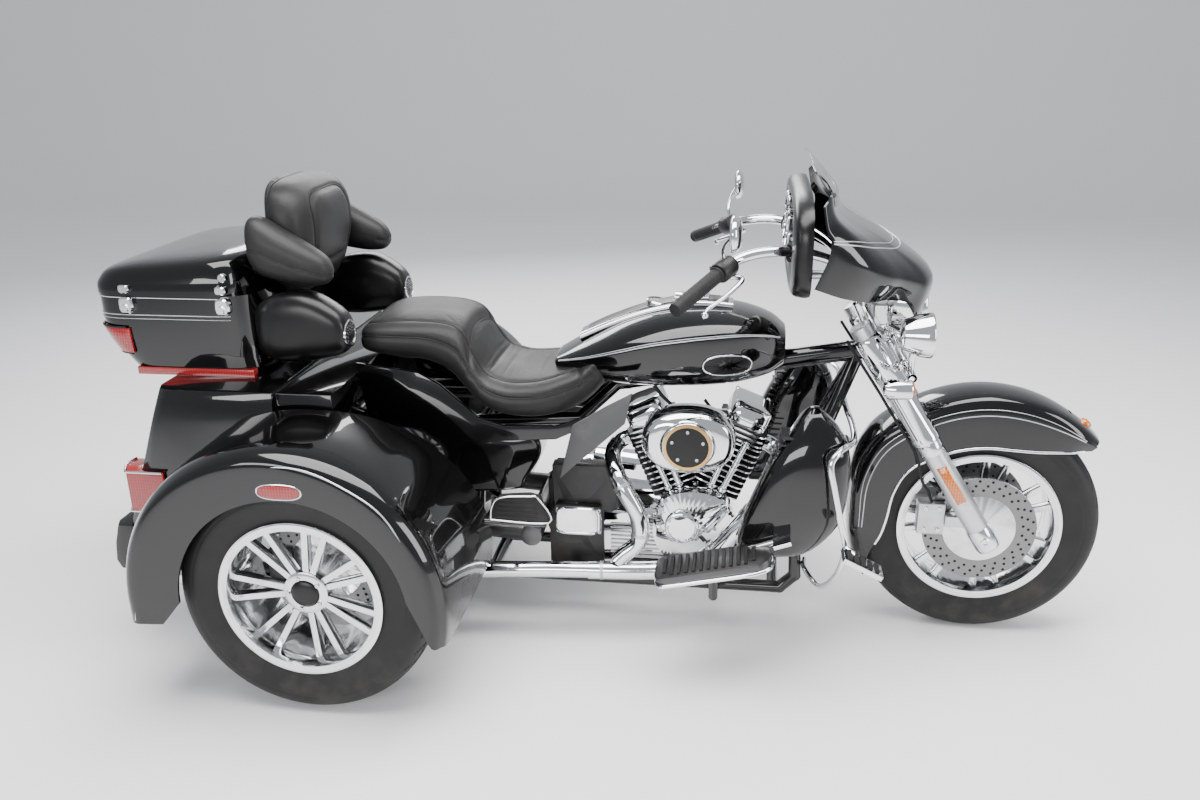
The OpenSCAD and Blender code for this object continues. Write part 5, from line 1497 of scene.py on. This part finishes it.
# A glossy lower panel closes the side behind the engine, with a raised edge all round it, and a
# chromed cover stands on the gearbox
panel = [(212, 520), (236, 596), (420, 594), (500, 590), (512, 540), (470, 470), (440, 436), (250, 430)]
flat = smooth([[RX + x, z] for x, z in panel + panel[:1]], 6)[:-1]
centre = (RX + 350, 520)
part = Part()
part.loft([at_y(y, [(mix(centre[0], x, k), mix(centre[1], z, k)) for x, z in flat])
           for y, k in ((190, 1.0), (199, 1.0), (203, 0.975), (201, 0.93), (203, 0.9), (205, 0.5))])
part.both_sides().done("lower_side_panels", "chassis", black_paint, 50)
part = Part()
part.loft([at_y(y, oval(CX - 322, CZ + 47, 64 * k, 43 * k, 5, 48))
           for y, k in ((-118, 1.0), (-142, 1.0), (-146, 0.96), (-147, 0.9), (-145.5, 0.86), (-147, 0.5))])
part.done("gearbox_cover", "chassis", chrome, 40)

# Gear and brake pedals stand ahead of the rider's boards
part = Part().tube([(CX + 60, -300, 322), (CX + 150, -318, 356), (CX + 222, -330, 388)], 8, 16)
part.block((CX + 232, -340, 394), (46, 62, 10), Matrix.Rotation(math.radians(-20), 3, "Y"))
part.both_sides().done("foot_pedals", "chassis", chrome, 35, bevel=1)

# Tail lamps get a bright surround, the trunk a handle, and the bumper a blank plate
part = Part()
for s in (-1, 1):
    for z in (430, 542):
        x = TAIL + 58 + 36
        corners = ((x - 9, 337), (x - 9, 386), (x + 14, 430), (x + 118, 430))
        part.tube([(u, s * v, z) for u, v in corners], 3.4, 10)
part.done("tail_lamp_surrounds", "chassis", chrome, 40)
back = TAIL + 58 + (560 - 330) * 0.36
part = Part().loft([at_x(back - d, oval(0, 560, w, h, 4, 32))
                    for d, w, h in ((2, 74, 17), (9, 74, 17), (12, 66, 11))])
part.done("trunk_handle", "trunk_door", chrome, 40)
part = Part().loft([at_x(TAIL + d, oval(0, 300, w, h, 9, 40))
                    for d, w, h in ((16, 92, 52), (12, 92, 52), (11, 90, 50))])
part.done("blank_plate", "chassis", satin_alloy, 40)
part = Part()
for s in (-1, 1):
    part.bolt((TAIL + 10, s * 73, 290), (-1, 0, 0), 6, 4)
part.done("plate_bolts", "chassis", chrome, 30)
print("guards and trim done")

# %% [markdown]
# ## Upholstery
# The seat, the backrest and its arms are foam under leather. Each starts as a plain block of
# the right outline. A cloth simulation then inflates its skin a little while the base and the
# seam lines are held, which gives the soft crowns and drawn-in seams of real upholstery.

# %% The padding workshop
FRAMES = 20


def remeshed(part, name, voxel):
    made = part.done(name, "chassis", leather, 80)
    made.parent = None
    grid = made.modifiers.new("even", "REMESH")
    grid.mode = "VOXEL"
    grid.voxel_size = voxel / 1000
    bpy.context.view_layer.update()
    mesh = bpy.data.meshes.new_from_object(made.evaluated_get(bpy.context.evaluated_depsgraph_get()))
    made.modifiers.clear()
    made.data = mesh
    if not mesh.materials:
        mesh.materials.append(leather[0])
    for face in mesh.polygons:
        face.use_smooth = True
    return made


def inflate(made, held, cap):
    """Puffs the skin with cloth pressure; held(point) is 1 where it is fixed and 0 where free."""
    mesh = made.data
    before = [v.co.copy() for v in mesh.vertices]
    pins = made.vertex_groups.new(name="held")
    for v in mesh.vertices:
        weight = held(v.co * 1000)
        if weight > 0.01:
            pins.add([v.index], min(1.0, weight), "REPLACE")
    cloth = made.modifiers.new("puff", "CLOTH")
    cloth.settings.use_pressure = True
    cloth.settings.uniform_pressure_force = 4.0
    cloth.settings.effector_weights.gravity = 0.0
    cloth.settings.vertex_group_mass = "held"
    cloth.settings.quality = 6
    cloth.settings.tension_stiffness = 30
    cloth.settings.compression_stiffness = 30
    cloth.point_cache.frame_start = 1
    cloth.point_cache.frame_end = FRAMES
    for number in range(1, FRAMES + 1):
        bpy.context.scene.frame_set(number)
    shaped = made.evaluated_get(bpy.context.evaluated_depsgraph_get())
    after = [v.co.copy() for v in shaped.data.vertices]
    made.modifiers.clear()
    bpy.context.scene.frame_set(1)
    for v, a, b in zip(mesh.vertices, before, after):
        move = b - a
        if move.length > cap / 1000:
            move = move.normalized() * cap / 1000
        v.co = a + move
    mesh.update()
    far = max((b - a).length for a, b in zip(before, after))
    print(made.name, "points:", len(before), "furthest move mm:", round(far * 1000, 1))
    soft = made.modifiers.new("soft", "SUBSURF")
    soft.levels = 1
    soft.render_levels = 1


def groove(made, near, deep):
    """Draws the skin in where near(point) is high, along the seams."""
    mesh = made.data
    normals = [v.normal.copy() for v in mesh.vertices]
    for v, n in zip(mesh.vertices, normals):
        k = near(v.co * 1000)
        if k > 0.0:
            v.co -= n * deep * k / 1000
    mesh.update()


def bell(value, width):
    return math.exp(-(value / width) ** 2)


# %% [markdown]
# ## Seat
# One long saddle in two levels. A piped seam runs round its edge and two cross seams part the
# rider's place, the step and the passenger's place.

# %% Seat
seat_rows = [
    [14, 116, 832, 846], [26, 160, 802, 874], [60, 178, 792, 888], [120, 182, 782, 895],
    [200, 180, 774, 896], [262, 176, 742, 889], [298, 180, 702, 868], [330, 188, 674, 808],
    [362, 196, 654, 760], [420, 200, 634, 738], [500, 198, 630, 742], [570, 182, 642, 760],
    [630, 156, 670, 783], [676, 124, 718, 830], [692, 92, 762, 846],
]
part = Part()
seat_fine = smooth(seat_rows, 4)
rings = []
for x, w, low, high in seat_fine:
    mid = (low + high) / 2
    ring = []
    for k in range(56):
        a = 2 * math.pi * k / 56
        dip = 7 * math.cos(a) ** 2 if x > 380 and math.sin(a) > 0 else 0.0
        ring.append((RX + x, w * power(math.cos(a), 0.55),
                     mid + (high - mid) * power(math.sin(a), 0.62) - 3 + dip * 0.6))
    rings.append(ring)
part.loft(rings)
seat = remeshed(part, "seat_cushion", 6.0)


# The outline that is nearest to each millimetre of the seat's length
SEAT_BACK, SEAT_NOSE = int(RX) + 10, int(RX) + 699
seat_table = {
    x: min(seat_fine, key=lambda row: abs(RX + row[0] - x)) for x in range(SEAT_BACK, SEAT_NOSE + 1)
}


def seat_row(x):
    return seat_table[max(SEAT_BACK, min(SEAT_NOSE, int(x)))]


def seat_height(p):
    x, w, low, high = seat_row(p.x)
    return (p.z - low) / (high - low)


CROSS = (RX + 306, RX + 600)


def seat_seams(p):
    h = seat_height(p)
    edge = bell((h - 0.62) * 110, 7.0) if abs(p.y) > 90 or h < 0.7 else 0.0
    across = max(bell(p.x - c - 0.0006 * p.y * p.y, 6.5) for c in CROSS) if h > 0.5 else 0.0
    side = bell(abs(p.y) - (seat_row(p.x)[1] - 52), 6.0) if h > 0.75 else 0.0
    return max(edge, across, side)


groove(seat, seat_seams, 3.0)
inflate(seat, lambda p: max(1.0 if seat_height(p) < 0.34 else 0.0, seat_seams(p),
                            1.0 if p.x > RX + 610 else 0.0), 16.0)
groove(seat, seat_seams, 2.0)
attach(seat, "chassis")
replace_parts(seat, "seat")


STITCH = 9.0


def on_skin(item, start, push):
    """Where a ray from start along push meets the piece, with the skin's normal there."""
    hit, place, normal, _ = item.ray_cast(Vector(start) / 1000, Vector(push).normalized())
    return (place * 1000, normal) if hit else None


def stitched(name, item, rays, radius=1.6):
    """A piped seam laid where rays meet the skin, with a row of stitches beside it."""
    found = [on_skin(item, a, b) for a, b in rays]
    runs = [[]]
    for spot in found:
        if spot is None:
            runs.append([])
        elif runs[-1] and (spot[0] - runs[-1][-1][0]).length > 40:
            runs.append([spot])
        else:
            runs[-1].append(spot)
    cord = Part()
    rows = Part()
    for run in runs:
        if len(run) < 4:
            continue
        cord.tube([p + n * 0.5 for p, n in run], radius, 8)
        since = 0.0
        for i in range(1, len(run)):
            p, n = run[i]
            step = p - run[i - 1][0]
            since += step.length
            if since > STITCH and step.length > 0.1:
                since = 0.0
                ahead = step.normalized()
                side = n.cross(ahead).normalized() * 6.0
                rows.tube([p + side - ahead * 2.6 + n * 0.4, p + side + n * 1.2,
                           p + side + ahead * 2.6 + n * 0.4], 0.7, 6)
    bpy.context.view_layer.update()
    if cord.points:
        cord.done(name + "_piping", "chassis", leather, 60)
    if rows.points:
        rows.done(name + "_stitches", "chassis", thread, 60)


bpy.context.view_layer.update()
for s, word in ((-1, "right"), (1, "left")):
    rays = []
    for x, w, low, high in smooth(seat_fine[3:-6], 4):
        rays.append(((RX + x, s * 400, mix(low, high, 0.62)), (0, -s, 0)))
    stitched("seat_edge_" + word, seat, rays)
    rays = [((RX + x, s * (w - 52), 1000), (0, 0, -1))
            for x, w, low, high in smooth(seat_fine[4:-9], 4)]
    stitched("seat_top_" + word, seat, rays, 1.2)
for number, c in enumerate(CROSS):
    rays = [((c + 0.0006 * y * y, y, 1000), (0, 0, -1)) for y in range(-176, 177, 4)]
    stitched(f"seat_cross_{number}", seat, rays, 1.4)
print("seat upholstered")

# %% [markdown]
# ## Backrest and arms
# The backrest is a tall pad with an inset panel, and two curved arms hold the passenger.

# %% Backrest
pad_rows = smooth([
    [938, 90, 60, 0], [960, 140, 96, 0], [985.3, 158, 114, 0], [993, 164, 120, 7],
    [1020, 178, 132, 7], [1100, 196, 150, 7], [1170, 196, 148, 7], [1218, 176, 128, 7],
    [1243, 132, 96, 9], [1253, 70, 56, 17],
], 4)
PAD_X = LID_FRONT + 7
rings = []
for z, w, reach, back in pad_rows:
    rear = BOX_FRONT + 0.5 if z < 985 else PAD_X + max(0, back - 7)
    front = PAD_X + reach
    rings.append(at_z(z, oval((rear + front) / 2, 0, (front - rear) / 2, w, 2.6, 64)))
rest = remeshed(Part().loft(rings), "backrest_pad", 6.0)


def rest_seams(p):
    if p.x < PAD_X + 40:
        return bell(p.x - PAD_X - 34, 5.0) if p.z > 1000 else 0.0
    inside = ((abs(p.y) / 122) ** 4 + (abs(p.z - 1122) / 96) ** 4) ** 0.25
    return bell((inside - 1) * 100, 7.0)


groove(rest, rest_seams, 3.2)
inflate(rest, lambda p: max(1.0 if p.x < PAD_X + 22 or p.z < 1000 else 0.0, rest_seams(p)), 16.0)
groove(rest, rest_seams, 2.0)
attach(rest, "chassis")
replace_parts(rest, "backrest")

bpy.context.view_layer.update()
loop = [(122 * power(math.cos(a), 0.5), 1122 + 96 * power(math.sin(a), 0.5))
        for a in (2 * math.pi * k / 180 for k in range(181))]
stitched("backrest_panel", rest, [((PAD_X + 400, y, z), (-1, 0, 0)) for y, z in loop])
gusset = [((PAD_X + 34, 400 * math.cos(a), 1100 + 300 * math.sin(a)),
           (0, -math.cos(a), -0.75 * math.sin(a)))
          for a in (math.radians(-20 + 220 * k / 160) for k in range(161))]
stitched("backrest_gusset", rest, gusset)

arm_rows = smooth([[2, 1112, 26, 40], [12, 1108, 44, 66], [40, 1098, 52, 76], [84, 1080, 53, 68],
                   [150, 1056, 48, 54], [196, 1042, 36, 38], [214, 1037, 20, 20], [220, 1036, 8, 8]], 5)
for s, word in ((-1, "right"), (1, "left")):
    rings = [at_x(PAD_X + x, oval(s * (222 + 0.02 * x), z, w, h, 2.5, 48)) for x, z, w, h in arm_rows]
    arm = remeshed(Part().loft(rings), "armrest_" + word, 5.0)

    def arm_seam(p):
        row = min(arm_rows, key=lambda r: abs(PAD_X + r[0] - p.x))
        return bell(p.z - row[1] + 6, 5.0) if abs(p.y) > 226 or p.x > PAD_X + 190 else 0.0

    groove(arm, arm_seam, 2.6)
    inflate(arm, lambda p: max(1.0 if p.x < PAD_X + 16 or abs(p.y) < 190 else 0.0, arm_seam(p)), 16.0)
    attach(arm, "chassis")
    bpy.context.view_layer.update()
    rays = [((PAD_X + x, s * 420, z - 6), (0, -s, 0)) for x, z, w, h in smooth(arm_rows, 3)]
    stitched("armrest_seam_" + word, arm, rays, 1.4)
    part = Part()
    part.tube([(PAD_X + 8, s * 150, 1010), (PAD_X + 2, s * 200, 1030), (PAD_X + 10, s * 222, 1062)], 11, 20)
    part.done("armrest_bracket_" + word, "chassis", black_plastic, 40)
print("backrest upholstered")

# %% [markdown]
# ## CAD pieces shown as they are
# Tubes, castings and covers already have their right shape in the model. They get a finish
# and a small round on every edge, because a real edge always catches some light.

# %% CAD pieces and their finishes
shown = {
    "frame": (black_paint, 1.0), "rear_axle": (dark_steel, 1.5),
    "engine_cases": (chrome, 3.0), "primary_cover": (chrome, 5.0),
    "transmission": (engine_black, 3.0), "side_covers": (black_paint, 3.0),
    "trunk_body": (black_paint, 3.0), "trunk_door": (black_paint, 2.5),
    "rear_bumper": (black_paint, 4.0), "tail_lamps": (red_lens, 3.0),
    "box_lamps": (red_lens, 2.0), "rider_footboards": (dark_steel, 3.0),
    "air_deflectors": (grey_plastic, 2.0), "fork": (satin_alloy, 1.5),
    "fairing_inner": (satin_black, 2.0), "front_brakes": (satin_alloy, 3.0),
    "brake_hoses": (black_rubber, 0.0), "front_rim": (polished_alloy, 1.6),
    "rear_rim_right": (polished_alloy, 1.6), "rear_rim_left": (polished_alloy, 1.6),
    "pillion_board_right": (black_rubber, 3.0), "pillion_board_left": (black_rubber, 3.0),
    "fuel_door": (chrome, 2.0), "fuel_tank": (black_paint, 0.0), "tank_console": (chrome, 1.0),
    "rear_fender_right": (black_paint, 0.0), "rear_fender_left": (black_paint, 0.0),
    "top_box": (black_paint, 0.0), "box_lid": (black_paint, 0.0),
    "speaker_pods": (black_paint, 0.0), "leg_shields": (black_paint, 0.0),
    "engine_guard": (chrome, 0.0), "front_fender": (black_paint, 0.0),
    "fairing": (black_paint, 0.0), "windshield": (glass, 0.0), "handlebar": (chrome, 0.0),
    "mirrors": (chrome, 0.0), "headlamp": (chrome, 0.0), "front_lamps": (chrome, 0.0),
    "exhaust": (chrome, 0.0), "cylinders": (engine_black, 1.0), "air_cleaner": (chrome, 0.0),
    "front_tyre": (tyre_rubber, 0.0), "rear_tyre_right": (tyre_rubber, 0.0),
    "rear_tyre_left": (tyre_rubber, 0.0), "seat": (leather, 0.0), "backrest": (leather, 0.0),
}
for name, (look, bevel) in shown.items():
    if not nodes[name].hide_render:
        show_cad(name, look, bevel)
print("CAD nodes shown:", sum(not item.hide_render for item in nodes.values()))

# %% [markdown]
# ## Studio
# A plain pale floor that sweeps up behind, one broad soft light overhead and two long strips
# at the sides. Glossy black shows its shape by the edges of these lights.

# %% Floor and lights
def floor_recipe(p):
    return {"Base Color": p.noise(1.5, 6.0).colours(grey(0.9), grey(0.93)),
            "Roughness": 0.55 + p.noise(9.0, 5.0) * 0.15, "Normal": p.noise(60.0).bump(0.03)}


floor_finish = finish("studio_floor", "floor", floor_recipe)
sweep = [(-9, 0.0), (7, 0.0)] + [
    (7 + 3 * math.sin(a), 3 - 3 * math.cos(a)) for a in (0.2 * k for k in range(1, 8))
] + [(10, 9.0)]
floor_mesh = bpy.data.meshes.new("studio_floor")
floor_mesh.from_pydata(
    [(x, y, z) for x in (-16, 16) for y, z in sweep], [],
    [[i, i + 1, len(sweep) + i + 1, len(sweep) + i] for i in range(len(sweep) - 1)],
)
floor = bpy.data.objects.new("studio_floor", floor_mesh)
bpy.context.scene.collection.objects.link(floor)
floor_mesh.materials.append(floor_finish[0])
for face in floor_mesh.polygons:
    face.use_smooth = True


def softbox(name, place, aim, size, power_of_lamp):
    lamp = bpy.data.lights.new(name, "AREA")
    lamp.shape = "RECTANGLE"
    lamp.size, lamp.size_y = size
    lamp.energy = power_of_lamp
    made = bpy.data.objects.new(name, lamp)
    bpy.context.scene.collection.objects.link(made)
    made.location = place
    made.rotation_euler = (Vector(aim) - Vector(place)).to_track_quat("-Z", "Y").to_euler()
    return made


lamps = [
    softbox("top_light", (0.2, -0.4, 3.6), (0, 0, 0.4), (4.5, 2.2), 330),
    softbox("side_light", (-1.5, -4.6, 1.9), (0, 0, 0.6), (3.4, 1.1), 120),
    softbox("front_light", (4.2, -1.8, 1.8), (0.4, 0, 0.6), (1.2, 2.4), 90),
    softbox("back_light", (-1.2, 3.8, 2.6), (0, 0, 0.8), (3.6, 1.0), 120),
]
world = bpy.data.worlds.new("studio")
bpy.context.scene.world = world
world.use_nodes = True
world.node_tree.nodes["Background"].inputs["Color"].default_value = (0.83, 0.87, 0.93, 1)
world.node_tree.nodes["Background"].inputs["Strength"].default_value = 0.6

# %% [markdown]
# ## Camera
# A wide view from a little above head height, looking down on the right-hand side.

# %% Camera
lens_data = bpy.data.cameras.new("main_camera")
lens_data.sensor_width = 36.0
lens_data.lens = 30.93
camera = bpy.data.objects.new("main_camera", lens_data)
bpy.context.scene.collection.objects.link(camera)
right = Vector((0.99043585, 0.13732778, -0.01333789))
down = Vector((0.03443454, -0.33963864, -0.93992545))
ahead = Vector((-0.13360794, 0.93047659, -0.3411191))
camera.matrix_world = Matrix.Translation((0.356, -2.6985, 1.6193)) @ Matrix(
    (right, -down, -ahead)).transposed().to_4x4()
bpy.context.scene.camera = camera
